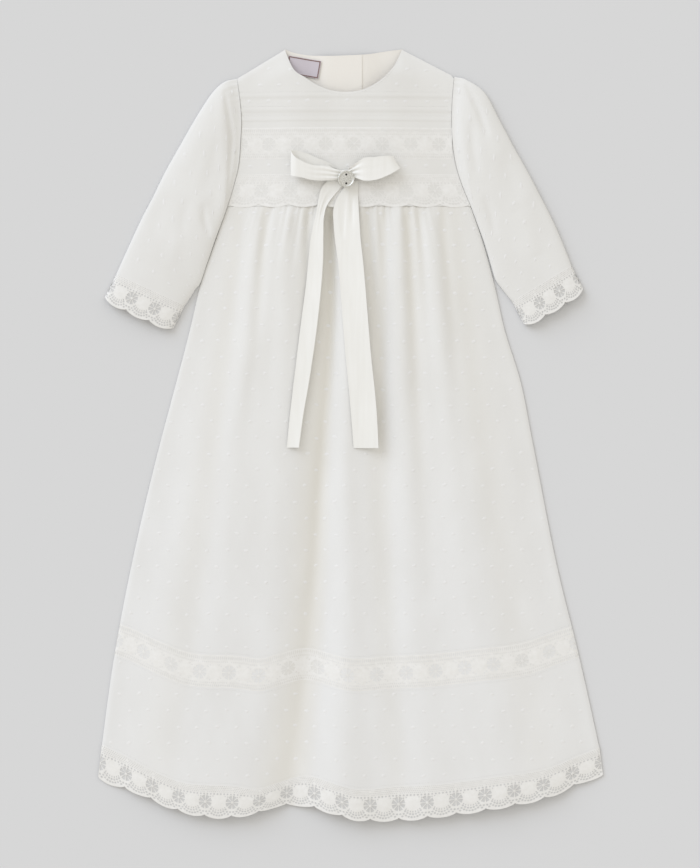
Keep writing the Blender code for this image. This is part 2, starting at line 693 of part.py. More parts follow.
def make_sleeves():
    for side, rings in (("left", LEFT_RINGS), ("right", RIGHT_RINGS)):
        outer, inner = (
            [sleeve_ring(rings, side, n, SLEEVE_RING_POINTS, wall) for n in range(len(rings))]
            for wall in (0.0, CLOTH)
        )
        tube(f"sleeve_{side}", outer, inner, "cloth")
        tube(f"cuff_lace_{side}", cuff_rings(rings, side, 0.0), cuff_rings(rings, side, LACE), "lace")


def rest_height(carriers, x, y, reach):
    """Top of what lies under a point and around it."""
    best = 0.0
    for tree in carriers:
        for dx in (-reach, 0.0, reach):
            for dy in (-reach, 0.0, reach):
                hit = tree.ray_cast(Vector((x + dx, y + dy, 60.0)) * MM, Vector((0, 0, -1)))
                if hit[0] is not None:
                    best = max(best, hit[0].z / MM)
    return best


def make_tail(name, rows, carriers):
    """A flat ribbon end that lies on the yoke's lace and the skirt."""
    ys = np.array(column(rows, "y"))
    levels = np.concatenate([np.linspace(a, b, 3)[:-1] for a, b in zip(ys[:-1], ys[1:])] + [ys[-1:]])
    left, right = (along(ys, column(rows, side), levels) for side in ("left", "right"))
    plan = [(l + (r - l) * s, y) for y, l, r in zip(levels, left, right) for s in (0.0, 0.5, 1.0)]
    heights = [rest_height(carriers, x, y, RIBBON_REACH) for x, y in plan]
    level = np.array(heights).reshape(-1, 3).max(axis=1).repeat(3) + SEAM_GAP
    return thick(name, plan, grid_faces(2, len(levels) - 1), level, level + RIBBON, "ribbon")


def make_loop(name, stations):
    """A ribbon loop: a strip of even thickness carried round the stations."""
    places = np.array([(s.x, s.y, s.z) for s in stations])
    run = np.gradient(places, axis=0)
    rings = []
    for place, step, station in zip(places, run, stations):
        across = np.array([station.slant, -1.0, 0.0])
        across /= np.linalg.norm(across)
        out = np.cross(across, step)
        out /= np.linalg.norm(out)
        a, b = across * station.width / 2, out * RIBBON / 2
        rings.append([place - a - b, place + a - b, place + a + b, place - a + b])
    points = [tuple(p) for ring in rings for p in ring]
    faces = [(3, 2, 1, 0), tuple(4 * (len(rings) - 1) + k for k in range(4))]
    for r in range(len(rings) - 1):
        for k in range(4):
            n = (k + 1) % 4
            a, b, c, d = 4 * r + k, 4 * r + n, 4 * r + 4 + n, 4 * r + 4 + k
            faces += [(a, b, c), (a, c, d)]
    made = add_object(name, points, faces, "ribbon")
    face_outwards(made)
    return made


def rounded_rectangle(x, y, width, length, corner, steps=4):
    points = []
    for number, (sx, sy) in enumerate(((1, 1), (-1, 1), (-1, -1), (1, -1))):
        for a in np.linspace(0.0, math.pi / 2, steps):
            turn = a + number * math.pi / 2
            cx, cy = x + sx * (width / 2 - corner), y + sy * (length / 2 - corner)
            points.append((cx + corner * math.cos(turn), cy + corner * math.sin(turn)))
    return points


def make_knot():
    """The wrap over the middle of the bow, narrower at its top."""
    base = rounded_rectangle(KNOT_X, KNOT_Y, KNOT_WIDTH, KNOT_LENGTH, 3.0)
    crown = rounded_rectangle(KNOT_X, KNOT_Y, KNOT_WIDTH - 3.0, KNOT_LENGTH - 3.0, 3.0)
    count = len(base)
    points = [(x, y, KNOT_BASE) for x, y in base]
    points += [(x, y, KNOT_TOP - 2.0) for x, y in base]
    points += [(x, y, KNOT_TOP) for x, y in crown]
    faces = [tuple(reversed(range(count))), tuple(range(2 * count, 3 * count))]
    for level in (0, 1):
        for k in range(count):
            n = (k + 1) % count
            a = level * count
            faces.append((a + k, a + n, a + n + count, a + k + count))
    add_object("bow_knot", points, faces, "ribbon")


def make_button():
    """A turned metal disc with a raised rim and two sewing holes."""
    base = KNOT_TOP + SEAM_GAP
    profile = (
        (BUTTON_RADIUS - 0.6, 0.0),
        (BUTTON_RADIUS, 0.7),
        (BUTTON_RADIUS, 1.7),
        (BUTTON_RADIUS - 0.6, 2.3),
        (BUTTON_RADIUS - 1.6, 2.3),
        (BUTTON_RADIUS - 2.1, 1.8),
    )
    segments = 32
    points = []
    for radius, height in profile:
        for k in range(segments):
            a = 2 * math.pi * k / segments
            points.append((BUTTON_X + radius * math.cos(a), BUTTON_Y + radius * math.sin(a), base + height))
    levels = len(profile)
    faces = [tuple(reversed(range(segments))), tuple(range((levels - 1) * segments, levels * segments))]
    for level in range(levels - 1):
        for k in range(segments):
            n = (k + 1) % segments
            a = level * segments
            faces.append((a + k, a + n, a + n + segments, a + k + segments))
    button = add_object("medallion_button", points, faces, "button")
    for number, side in enumerate((-1, 1), 1):
        bpy.ops.mesh.primitive_cylinder_add(vertices=10, radius=BUTTON_HOLE_RADIUS * MM, depth=8.0 * MM)
        cutter = bpy.context.object
        cutter.name = f"sewing_hole_cutter_{number}"
        cutter.location = Vector((BUTTON_X, BUTTON_Y + side * BUTTON_HOLE_SPACING / 2, base + 1.0)) * MM
        cutter.hide_render = True
        cutter.display_type = "WIRE"
        cut = button.modifiers.new(f"hole_{number}", "BOOLEAN")
        cut.operation = "DIFFERENCE"
        cut.object = cutter


def tree_of(name):
    mesh = bpy.data.objects[name].data
    return BVHTree.FromPolygons([v.co for v in mesh.vertices], [tuple(p.vertices) for p in mesh.polygons])


def make_bow():
    carriers = [tree_of(name) for name in ("skirt_front", "yoke_lace", "yoke_front")]
    make_tail("ribbon_tail_left", LEFT_TAIL, carriers)
    make_tail("ribbon_tail_right", RIGHT_TAIL, carriers)
    make_loop("bow_loop_left", LEFT_LOOP)
    make_loop("bow_loop_right", RIGHT_LOOP)
    make_knot()
    make_button()


def main():
    for old in list(bpy.data.objects):
        bpy.data.objects.remove(old, do_unlink=True)
    make_skirt()
    make_hem_lace()
    make_yoke_front()
    make_yoke_back()
    make_back_buttons()
    make_label()
    make_sleeves()
    make_bow()


main()
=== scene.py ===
"""Looks of the baby's christening gown that lies flat, front up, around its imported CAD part.

The tables hold millimetres, as in the CAD: x runs across the gown, y along it towards the
neck, and z rises from the surface that it lies on. The sheets here are thinner than the CAD's
walls, keep their outer faces and add the finer folds, the lace's holes, the tufts and the sewing.
"""

from collections import namedtuple
import math

import bmesh
import bpy
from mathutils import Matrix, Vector, geometry
import numpy as np


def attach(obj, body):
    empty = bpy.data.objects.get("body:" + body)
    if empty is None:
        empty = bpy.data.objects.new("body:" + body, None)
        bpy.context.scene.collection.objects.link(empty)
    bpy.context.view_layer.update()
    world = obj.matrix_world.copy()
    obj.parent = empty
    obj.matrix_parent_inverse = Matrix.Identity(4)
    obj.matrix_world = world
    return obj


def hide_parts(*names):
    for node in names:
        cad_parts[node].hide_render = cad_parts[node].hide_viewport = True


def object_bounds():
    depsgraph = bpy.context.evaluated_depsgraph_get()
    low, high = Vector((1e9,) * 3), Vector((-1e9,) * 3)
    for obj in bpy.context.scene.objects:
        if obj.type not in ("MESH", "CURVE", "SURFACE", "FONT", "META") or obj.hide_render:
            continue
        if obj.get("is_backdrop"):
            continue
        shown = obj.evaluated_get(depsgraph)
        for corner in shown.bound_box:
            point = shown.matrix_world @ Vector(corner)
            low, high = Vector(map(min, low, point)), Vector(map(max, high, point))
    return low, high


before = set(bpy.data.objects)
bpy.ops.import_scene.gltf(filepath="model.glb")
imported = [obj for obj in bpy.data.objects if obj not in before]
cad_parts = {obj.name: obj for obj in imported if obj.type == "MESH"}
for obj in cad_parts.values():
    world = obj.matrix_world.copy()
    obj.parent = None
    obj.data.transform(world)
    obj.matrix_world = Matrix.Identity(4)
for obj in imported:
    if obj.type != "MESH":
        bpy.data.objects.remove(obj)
CAD_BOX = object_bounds()

MM = 0.001
ROOT = "root"

# Thicknesses and heights
SHEET = 0.45
LACE_SHEET, LACE_ON_CLOTH = 0.16, 0.1
RIBBON_SHEET = 0.35
CLOTH_WALL = 1.2
SEAM_GAP = 0.3
EDGE_TOP = 2 * CLOTH_WALL + SEAM_GAP
SIDE_SEAM_TOP = 1.4
SIDE_SEAM_ROUND = 1.8
RIM_ANGLE = 55.0
BACK_CLEAR = 0.15

# Body of the gown
SEAM_Y = 227.5
HEM_Y = -351.0
SHOULDER_ROUND = 26.0
SIDE_ROUND = 72.0
SEAM_HOLD, SEAM_REACH = 0.3, 14.0
BAND_LAP = 0.006
JUST_BELOW = SEAM_Y - 0.01
JUST_ABOVE = SEAM_Y + 0.01
BAND_TOP, BAND_BOTTOM = 0.775, 0.831
LACE_FLARE = 0.016
BACK_RIM, BACK_ROUND = 4.0, 22.0
FAR_INSIDE = 99.0

# Columns and rows of faces in the skirt's parts, and how far the band's backing is raised
Panels = namedtuple("Panels", "columns rows band_rows hem_rows band_lift")
SKIRT = {"front": Panels(200, 130, 12, 28, -0.12), "back": Panels(130, 70, 8, 16, 0.5)}
SKIRT_EASE = 1.3

# Short gathers under the yoke seam: how many, the seed, and the ranges of their draws
FRONT_GATHERS, FRONT_GATHER_SEED = 38, 3
BACK_GATHERS, BACK_GATHER_SEED = 44, 5
GATHER_STRAY, GATHER_REACH, GATHER_DEPTH, GATHER_WIDTH = 0.4, (12.0, 62.0), (0.4, 1.25), (1.3, 2.4)
GATHER_SPREAD = 50.0

# Painted shade: the cloth is warmer and a little darker in the folds' troughs, fully at this depth; and
# a warmer tone near the yoke
TROUGH_SHADE_DEPTH, WARM_Y, WARM_SPREAD = 5.5, 250.0, 0.42

# Soft unevenness: height, seed, length and stretch
Wave = namedtuple("Wave", "height seed length stretch")
FRONT_WAVES = (Wave(0.35, 11, 62.0, 2.6), Wave(0.12, 12, 17.0, 1.6))
BACK_SKIRT_WAVE = Wave(0.25, 21, 55.0, 2.4)
BACK_YOKE_WAVE = Wave(0.1, 22, 40.0, 1.0)
SLEEVE_WAVE = Wave(0.3, 31, 40.0, 1.8)

# Yoke
TUCK_EDGES = (336.0, 321.5, 312.5)
TUCK_DEPTH, TUCK_RAISE = 5.0, 0.15
INSERTION_BOTTOM, INSERTION_TOP = 274.0, 306.0
YOKE_LACE_TOP, YOKE_LACE_BOTTOM = 259.5, 226.4
YOKE_STEP, BACK_YOKE_STEP = 2.7, 3.4
YOKE_LOW, YOKE_SIDE_TOP = SEAM_Y - 0.1, 355.0
CLOTH_TO_LACE = 0.05

# Back opening
CENTRE_X = -5.6
UNDERLAP_X, OVERLAP_X = -20.0, 10.0
PLACKET_LIFT, PLACKET_SLOPE = 1.9, 22.0
PLACKET_INSET, PLACKET_PLY = 2.0, 0.6
BACK_BUTTON_TOP = 1.5
BACK_BUTTONS_Y = (368.0, 327.0, 286.0, 245.0)

# Sleeves
SLEEVE_EDGE = 1.4
SLEEVE_GAP = 0.25
SLEEVE_HEAD = 0.35
SLEEVE_AROUND, SLEEVE_ALONG = 96, 84
SLEEVE_FULLNESS, SOFT_ROUND, UNDER_ROUND = 0.68, 0.6, 0.35
HEAD_GATHER, HEAD_GATHERS = 0.5, 17
CUFF_LACE_LENGTH, CUFF_CORNER, CUFF_REPEATS = 30.5, 3.0, 3

# Bow
KNOT_X, KNOT_Y = -6.0, 254.9
KNOT_WIDTH, KNOT_LENGTH, KNOT_BASE, KNOT_TOP = 15.0, 16.6, 10.8, 15.5
BUTTON_X, BUTTON_Y, BUTTON_BASE = -5.7, 253.4, 15.9
BUTTON_HOLE_RADIUS, BUTTON_HOLE_SPACING = 1.05, 8.8
RIBBON_WIDTH = 25.0

# Label
LABEL_X, LABEL_Y, LABEL_WIDTH, LABEL_HEIGHT, LABEL_TURN = -48.5, 366.5, 33.0, 18.0, -10.0
LABEL_BASE, LABEL_RISE, LABEL_SHEET = 1.45, 0.45, 0.35
BORDER_INSETS, BORDER_RISE, BORDER_SHEET = (0.5, 1.5), 0.6, 0.15

# Tufts of the plumetis
TUFT_ACROSS, TUFT_ROWS = 19.6, 16.0
TUFT_WIDE, TUFT_HIGH, TUFT_RAISE = 2.3, 1.55, 0.18
TUFT_SIZE, TUFT_UNEVEN, TUFT_TURN, TUFT_TOP = (0.85, 1.15), (0.86, 1.14), (-0.5, 0.5), 0.62
TUFT_SEED, SKIRT_FRONT_SEED, SKIRT_BACK_SEED, YOKE_SEED = 41, 51, 52, 53
TUFT_NARROW, TUFT_REACH = 0.72, 260.0
TUFT_EDGE = 3.5

# Lines of stitches on the skirt, as shares of its length: off the band's edges, and near the hem
STITCH_LINE, HEM_STITCH_LINE = 0.0035, 0.9955

# Floor, lights and camera: lengths in metres, the sensor in millimetres and the angle in degrees
FLOOR_SIZE, FLOOR_Z, FLOOR_ROUGHNESS = 12.0, -0.0002, 0.95
FLOOR_COLOUR = (0.70, 0.70, 0.70)
CAMERA_X, CAMERA_HEIGHT, PICTURE_HIGH = -0.002, 2.6, 0.868
SENSOR = 36.0
WORLD_COLOUR, WORLD_STRENGTH = (1.0, 0.98, 0.94), 0.8295
KEY_COLOUR, KEY_STRENGTH, KEY_ANGLE = (1.0, 1.117, 1.352), 1.05, 44.0
KEY_TOWARDS = (1.0, -1.0, -0.66)

# One repeat of each lace
PITCH = 28.0
EDGING_HEIGHT, SCALLOP = 33.0, 3.5
BAND_HEIGHT = 32.0
SUN_WIDE, SUN_HIGH = 7.6, 6.6
EDGING_SUN_Y, BAND_SUN_Y = 16.9, 17.0
SUN_RAYS = 7
SUN_RINGS = ((0.25, 6), (0.52, 12), (0.78, 20), (0.99, 28))
SUN_RAISE, RAY_DEPTH = 0.22, 0.35
RING_GAP, RING_SLOT = 1.3, (0.95, 0.45)
WHEEL_RADIUS, WHEEL_HUB, WHEEL_WAIST = 6.8, 1.3, 0.62
WHEEL_RIM, WHEEL_MIDDLE, EDGE_RIM = 0.05, 0.06, 0.06
HEADER_TOP, HEADER_STEP, HEADER_ROWS, HEADER_HOLES = 1.5, 1.75, 4, 14
DOTS_Y, DOTS = 9.0, 8
FAN_RADII, FAN_STEP, FAN_WIDE, FAN_HIGH = (10.3, 13.0, 15.7, 18.4), 2.85, 1.2, 1.02
PICOT, PICOT_STEP = 0.3, 1.4
LADDER_BARS, LADDER_WIDE = 14, 0.6

# Rows of the band's ladders: their y, the height of their holes and whether they are staggered
LADDERS = ((3.4, 2.2, False), (7.2, 0.85, True), (26.8, 0.85, True), (29.4, 1.4, False))

# How the laces lie
NET_DEPTH, WHEEL_DEPTH = 0.1, 0.2
LACE_OVERLAP, EDGE_SINK, HEM_PHASE = 0.8, 0.2, 0.017
HEM_WAVE, HEM_DROOP, HEM_LOWEST = 0.5, 1.6, 1.5
BACK_HEM_SHORT, BACK_HEM_LEVEL = 1.5, 0.45
YOKE_EDGING_REPEATS, YOKE_BAND_REPEATS = 8, 7.5


def rows_of(kind, rows):
    """The rows of a table with their values named."""
    return [kind(*row) for row in rows]


Armhole = namedtuple("Armhole", "y left right")
ARMHOLES = rows_of(Armhole, (
    (357.0, -115.0, 102.0), (335.0, -112.0, 100.0), (314.0, -110.3, 99.4), (292.0, -111.2, 100.2),
    (269.0, -113.0, 103.5), (244.0, -119.0, 111.5), (SEAM_Y, -124.0, 118.5),
))

Side = namedtuple("Side", "y left right")
SIDES = rows_of(Side, (
    (SEAM_Y, -124.0, 118.5), (194.0, -136.0, 130.0), (150.0, -151.0, 142.0),
    (104.0, -162.0, 152.5), (54.0, -175.0, 168.0), (-6.0, -191.0, 180.0), (-146.0, -223.5, 208.0),
    (-206.0, -235.0, 223.0), (-340.0, -254.0, 253.0),
))

Neck = namedtuple("Neck", "x front back")
NECK = rows_of(Neck, (
    (-67.0, 384.0, 384.5), (-60.3, 367.3, 381.8), (-47.0, 355.7, 379.0), (-28.7, 345.2, 377.8),
    (-6.0, 341.0, 378.2), (18.0, 346.5, 379.8), (33.0, 357.0, 382.3), (43.0, 369.0, 383.6),
    (50.0, 384.0, 384.5),
))

Shoulder = namedtuple("Shoulder", "x y")
SHOULDERS = rows_of(Shoulder, (
    (-115.0, 355.0), (-67.0, 384.0), (50.0, 384.0), (102.0, 357.0),
))

Hem = namedtuple("Hem", "x cloth lace")
HEM = rows_of(Hem, (
    (-254.0, -311.0, 35.0), (-239.0, -317.0, 34.5), (-208.0, -332.0, 29.0), (-175.0, -346.0, 29.0),
    (-118.0, -351.0, 32.0), (-92.0, -354.0, 24.0), (-76.0, -349.0, 24.0), (-45.0, -341.5, 31.0),
    (-19.0, -348.0, 31.0), (-2.0, -353.0, 31.0), (45.0, -351.5, 34.5), (88.0, -349.0, 33.0),
    (142.0, -342.0, 32.0), (196.0, -334.0, 28.5), (232.0, -321.0, 27.5), (253.0, -314.0, 30.0),
))

Rise = namedtuple("Rise", "y height")
RISES = rows_of(Rise, (
    (385.0, 6.3), (227.5, 6.4), (150.0, 7.6), (0.0, 8.6), (-200.0, 8.2), (-385.0, 7.6),
))

# Each fold is a trough (depth below 0) or ridge whose middle passes the five stations
STATIONS_Y = (227.5, 134.0, -25.0, -201.0, -351.0)
Fold = namedtuple("Fold", "seam upper middle lower hem width spread depth reach")
FOLDS = rows_of(Fold, (
    (-25.0, -27.5, -36.0, -49.0, -73.0, 9.0, 27.0, -4.2, 4000),
    (-21.5, -21.5, -33.0, -47.0, -66.0, 3.6, 9.0, -2.2, 300),
    (-14.0, -12.0, -16.0, -16.0, -20.0, 8.0, 22.0, 2.8, 4000),
    (30.0, 29.0, 22.6, 31.0, 42.0, 5.0, 16.0, -1.8, 500),
    (41.0, 44.0, 50.0, 61.0, 74.0, 8.0, 24.0, 1.8, 700),
    (52.5, 57.0, 62.0, 73.0, 90.0, 4.5, 18.0, -3.0, 260),
    (-88.0, -97.0, -112.0, -132.0, -152.0, 5.0, 18.0, -2.2, 170),
    (-45.5, -48.0, -54.0, -70.0, -95.0, 4.5, 14.0, -2.4, 90),
    (-8.5, -6.0, -2.0, 3.0, 6.0, 4.0, 12.0, -2.4, 60),
    (12.0, 19.0, 32.0, 40.0, 46.0, 5.0, 14.0, -2.4, 200),
    (64.0, 70.0, 80.0, 95.0, 115.0, 4.5, 14.0, -2.0, 80),
    (88.0, 94.0, 104.0, 122.0, 146.0, 5.0, 16.0, -2.2, 130),
    (-102.0, -106.0, -117.0, -137.0, -160.0, 9.0, 26.0, 1.5, 500),
    (-69.0, -72.0, -82.0, -97.0, -118.0, 8.0, 24.0, 1.5, 500),
    (-113.0, -124.0, -146.0, -174.0, -202.0, 7.0, 28.0, -1.5, 900),
    (100.0, 110.0, 130.0, 155.0, 184.0, 8.0, 28.0, -1.5, 900),
    (76.0, 82.0, 94.0, 114.0, 138.0, 7.0, 26.0, 1.5, 700),
))
# Each fold's depth times the gain, moved right by a share of its width, so that its shade is on the line
FOLD_GAIN, FOLD_SHIFT = 1.32, 0.55
# Folds of the back, which rests flat, so they only rise off the ground
BACK_FOLDS = rows_of(Fold, (
    (-96.0, -104.0, -122.0, -146.0, -172.0, 5.0, 16.0, 1.3, 300),
    (-58.0, -62.0, -74.0, -88.0, -104.0, 5.0, 15.0, 1.5, 420),
    (-30.0, -32.0, -36.0, -44.0, -52.0, 4.5, 13.0, 1.2, 240),
    (-4.0, -4.0, -2.0, 2.0, 5.0, 6.0, 16.0, 1.6, 500),
    (24.0, 27.0, 33.0, 41.0, 50.0, 4.5, 14.0, 1.2, 260),
    (57.0, 62.0, 72.0, 87.0, 106.0, 5.0, 16.0, 1.5, 420),
    (92.0, 100.0, 118.0, 142.0, 168.0, 5.0, 16.0, 1.3, 300),
))

# Creases of the sleeves in the view from above, along a line of three points
Crease = namedtuple("Crease", "x1 y1 x2 y2 x3 y3 width depth")
SLEEVE_CREASES = {
    "left": rows_of(Crease, (
        (-121.0, 322.0, -131.0, 262.0, -147.0, 198.0, 9.0, -1.3),
        (-127.0, 343.0, -119.5, 296.0, -124.0, 236.0, 2.6, -2.2),
        (-133.0, 340.0, -128.0, 298.0, -131.0, 262.0, 5.0, 0.9),
        (-135.0, 292.0, -141.0, 262.0, -150.0, 236.0, 7.0, -1.0),
        (-149.0, 229.0, -147.0, 213.0, -142.0, 196.0, 3.2, -1.5),
        (-186.0, 240.0, -196.0, 212.0, -203.0, 184.0, 9.0, -0.8),
        (-150.0, 306.0, -160.0, 284.0, -168.0, 262.0, 8.0, 0.7),
        (-171.0, 205.0, -178.0, 184.0, -183.0, 164.0, 7.0, 0.7),
        (-163.0, 236.0, -168.0, 214.0, -170.0, 192.0, 5.0, -0.6),
    )),
    "right": rows_of(Crease, (
        (113.0, 350.0, 126.0, 324.0, 136.0, 296.0, 2.8, -2.2),
        (107.0, 338.0, 107.0, 306.0, 110.0, 272.0, 4.0, 0.8),
        (118.0, 312.0, 121.0, 284.0, 126.0, 258.0, 4.5, -1.2),
        (146.0, 280.0, 157.0, 256.0, 166.0, 232.0, 8.0, -0.8),
        (132.0, 238.0, 139.0, 218.0, 143.0, 198.0, 4.0, -1.3),
        (166.0, 222.0, 176.0, 200.0, 184.0, 178.0, 8.0, 0.8),
        (180.0, 240.0, 190.0, 214.0, 199.0, 190.0, 7.0, -0.6),
        (133.0, 318.0, 144.0, 292.0, 152.0, 268.0, 7.0, 0.7),
    )),
}

Ring = namedtuple("Ring", "outer_x outer_y inner_x inner_y height")
LEFT_RINGS = rows_of(Ring, (
    (-116.0, 355.0, -124.0, 228.0, 6.4), (-128.0, 352.0, -128.3, 216.0, 7.6),
    (-140.0, 341.0, -132.0, 206.0, 8.2), (-155.0, 318.0, -136.5, 194.0, 8.2),
    (-172.0, 288.0, -141.2, 180.0, 8.2), (-187.0, 261.0, -146.0, 166.0, 8.2),
    (-199.0, 236.0, -151.2, 151.0, 8.2), (-210.0, 215.0, -156.5, 144.0, 8.0),
    (-223.0, 187.0, -161.5, 136.0, 7.6), (-235.4, 159.5, -167.0, 128.0, 7.2),
))
RIGHT_RINGS = rows_of(Ring, (
    (103.0, 357.0, 119.0, 228.0, 6.4), (115.0, 354.0, 123.3, 216.0, 7.6),
    (133.0, 341.0, 127.2, 205.0, 8.2), (147.0, 315.0, 131.5, 193.0, 8.2),
    (161.0, 288.0, 135.4, 180.0, 8.2), (176.0, 261.0, 138.8, 168.0, 8.2),
    (190.0, 234.0, 142.6, 155.0, 8.2), (202.0, 210.0, 147.5, 147.5, 8.0),
    (211.0, 189.0, 153.5, 140.0, 7.6), (219.2, 168.0, 160.0, 132.0, 7.2),
))
RING_BULGE = (1.0, 0.8, 0.6, 0.4, 0.2, 0.1, 0.0, 0.0, 0.0, 0.0)
SLEEVES = {"left": LEFT_RINGS, "right": RIGHT_RINGS}

# Stations of a bow loop: out along the lower ply, round the tip and back along the upper ply
Loop = namedtuple("Loop", "x y z width slant")
LEFT_LOOP = rows_of(Loop, (
    (-8.8, 258.4, 11.2, 7.5, 0.0), (-14.2, 259.0, 11.4, 10.0, 0.0),
    (-24.0, 262.0, 11.4, 17.0, 0.0), (-36.0, 264.5, 11.5, 22.0, 0.0),
    (-48.0, 268.5, 12.0, 24.0, 0.0), (-57.0, 270.0, 13.0, 24.5, 0.0),
    (-60.6, 269.3, 15.0, 24.5, 0.0), (-57.5, 266.4, 17.0, 20.2, 0.0),
    (-49.0, 262.7, 17.7, 16.3, 0.0), (-39.0, 259.7, 17.3, 15.0, 0.0),
    (-28.0, 259.2, 16.2, 14.5, 0.0), (-14.2, 258.0, 14.5, 10.0, 0.0),
    (-8.8, 257.8, 12.8, 8.0, 0.0),
))
RIGHT_LOOP = rows_of(Loop, (
    (-3.4, 259.6, 11.2, 7.5, 0.0), (2.2, 261.0, 11.4, 10.0, 0.0), (13.0, 263.0, 11.4, 15.0, 0.0),
    (26.0, 266.0, 11.6, 18.0, 0.1), (37.0, 268.8, 12.8, 16.5, 0.35),
    (44.2, 270.4, 15.2, 14.0, 0.6), (41.0, 269.0, 17.6, 16.0, 0.45),
    (33.0, 266.5, 18.4, 20.0, 0.25), (23.0, 263.8, 18.2, 22.5, 0.1),
    (12.0, 263.0, 17.2, 22.5, 0.0), (2.2, 261.5, 14.6, 13.0, 0.0), (-3.4, 259.8, 12.8, 9.0, 0.0),
))

# Edges of each ribbon end in the view from above, and how wide the ply folded under it is
Tail = namedtuple("Tail", "y left right under")
LEFT_TAIL = rows_of(Tail, (
    (255.0, -22.0, -6.0, 2.0), (245.6, -30.0, -11.5, 3.0), (236.0, -33.0, -19.5, 6.0),
    (227.0, -34.5, -25.5, 7.0), (217.0, -36.5, -28.0, 7.5), (199.0, -40.5, -28.7, 9.0),
    (173.0, -43.5, -29.0, 9.5), (151.0, -45.6, -30.5, 9.5), (125.0, -49.0, -33.0, 9.0),
    (85.0, -54.0, -38.0, 9.0), (52.0, -58.0, -43.0, 9.5), (17.0, -62.0, -49.0, 10.5),
    (-13.5, -65.0, -53.0, 11.0),
))
RIGHT_TAIL = rows_of(Tail, (
    (252.0, -4.0, 6.5, 0.0), (244.0, -9.0, 6.2, 0.0), (234.0, -15.5, 6.2, 0.0),
    (224.0, -18.5, 6.7, 0.0), (209.0, -18.3, 7.5, 0.0), (194.0, -17.0, 8.5, 0.0),
    (173.0, -14.2, 10.8, 0.0), (134.0, -10.8, 14.2, 0.0), (85.0, -7.0, 18.2, 0.0),
    (17.0, -0.8, 24.8, 0.0), (-14.0, 1.5, 26.2, 0.0),
))
# Creases of the ribbon ends, and how far their right edges stand up
TAIL_CREASES = {
    "ribbon_tail_left": (Crease(-14.0, 246.0, -25.5, 234.0, -30.5, 216.0, 1.8, -0.8),),
    "ribbon_tail_right": rows_of(Crease, (
        (-6.5, 246.0, -9.0, 232.0, -9.2, 196.0, 2.0, -1.9),
        (0.5, 246.0, 0.0, 228.0, 0.0, 206.0, 1.8, -0.8),
    )),
}
TAIL_TILT = {"ribbon_tail_left": 2.2, "ribbon_tail_right": 3.2}
TAIL_SHEET, TAIL_CLEAR, FOLDED_LIFT = 0.22, 0.55, 0.5
TAIL_ALONG, TAIL_ACROSS, TAIL_UNEVEN, PLY_CLEAR = 90, 31, 0.25, 0.05
LOOP_ALONG, LOOP_ACROSS, LOOP_PLEATS, PLEAT_REACH = 90, 24, 3, 0.22

# What each sheet was cut to, in metres, before it was sewn and laid down. The area is that of a
# cut that isn't a rectangle, or of a lace without its holes.
Cut = namedtuple("Cut", "width length area held rests_on")


def along(xs, ys, x):
    """Smooth curve through the table's points, read at x."""
    xs, ys, x = (np.asarray(values, float) for values in (xs, ys, x))
    if xs[0] > xs[-1]:
        xs, ys = xs[::-1], ys[::-1]
    slopes = np.gradient(ys, xs)
    i = np.clip(np.searchsorted(xs, x) - 1, 0, len(xs) - 2)
    step = xs[i + 1] - xs[i]
    t = np.clip((x - xs[i]) / step, 0.0, 1.0)
    return (
        (1 + 2 * t) * (1 - t) ** 2 * ys[i]
        + t * (1 - t) ** 2 * step * slopes[i]
        + t * t * (3 - 2 * t) * ys[i + 1]
        + t * t * (t - 1) * step * slopes[i + 1]
    )


def column(rows, name):
    return [getattr(row, name) for row in rows]


def smooth_step(t):
    t = np.clip(t, 0.0, 1.0)
    return t * t * (3 - 2 * t)


def body_edges(y):
    """The gown's left and right edges at y: armholes above the yoke seam, side folds below it."""
    upper, lower = (
        [along(column(table, "y"), column(table, side), y) for side in ("left", "right")]
        for table in (ARMHOLES, SIDES)
    )
    return [np.where(np.asarray(y) > SEAM_Y, a, b) for a, b in zip(upper, lower)]


def shoulder_line(x):
    return np.interp(x, column(SHOULDERS, "x"), column(SHOULDERS, "y"))


def neck_y(x, side):
    return along(column(NECK, "x"), column(NECK, side), x)


def hem_cloth(x):
    return along(column(HEM, "x"), column(HEM, "cloth"), x)


def hem_lace(x):
    return along(column(HEM, "x"), column(HEM, "lace"), x)


def skirt_point(u, v):
    """Plan position on the skirt: u runs across from 0 to 1, v from the yoke seam to the hem."""
    hem_x = HEM[0].x + (HEM[-1].x - HEM[0].x) * u
    y = SEAM_Y - SEAM_GAP + (hem_cloth(hem_x) - SEAM_Y + SEAM_GAP) * v
    left, right = body_edges(np.minimum(y, JUST_BELOW))
    return left + (right - left) * u, y


def fold_field(table, x, y, shift=0.0):
    """Depth of the long folds of a table, moved to the right by a share of their width."""
    drop = np.maximum(SEAM_Y - y, 0.0)
    share = drop / (SEAM_Y - STATIONS_Y[-1])
    total = np.zeros(np.broadcast(x, y).shape)
    for fold in table:
        middle = along(STATIONS_Y, fold[:5], y)
        width = fold.width + (fold.spread - fold.width) * share
        middle = middle + shift * width
        total += fold.depth * np.exp(-(((x - middle) / width) ** 2)) / (1 + (drop / fold.reach) ** 2)
    return total


def gather_field(x, y, count, seed):
    """Short fine gathers of uneven length that fan out below the yoke seam."""
    left, right = body_edges(np.minimum(y, JUST_BELOW))
    drop = np.maximum(SEAM_Y - y, 0.0)
    total = np.zeros(np.broadcast(x, y).shape)
    draw = np.random.default_rng(seed)
    for number in range(count):
        middle = (number + 0.5 + draw.uniform(-GATHER_STRAY, GATHER_STRAY)) / count
        reach, depth = draw.uniform(*GATHER_REACH), draw.uniform(*GATHER_DEPTH)
        width = draw.uniform(*GATHER_WIDTH) * (1 + drop / GATHER_SPREAD)
        across = (x - left) - middle * (right - left)
        total += depth * np.exp(-((across / width) ** 2)) * np.exp(-((drop / reach) ** 2))
    return total


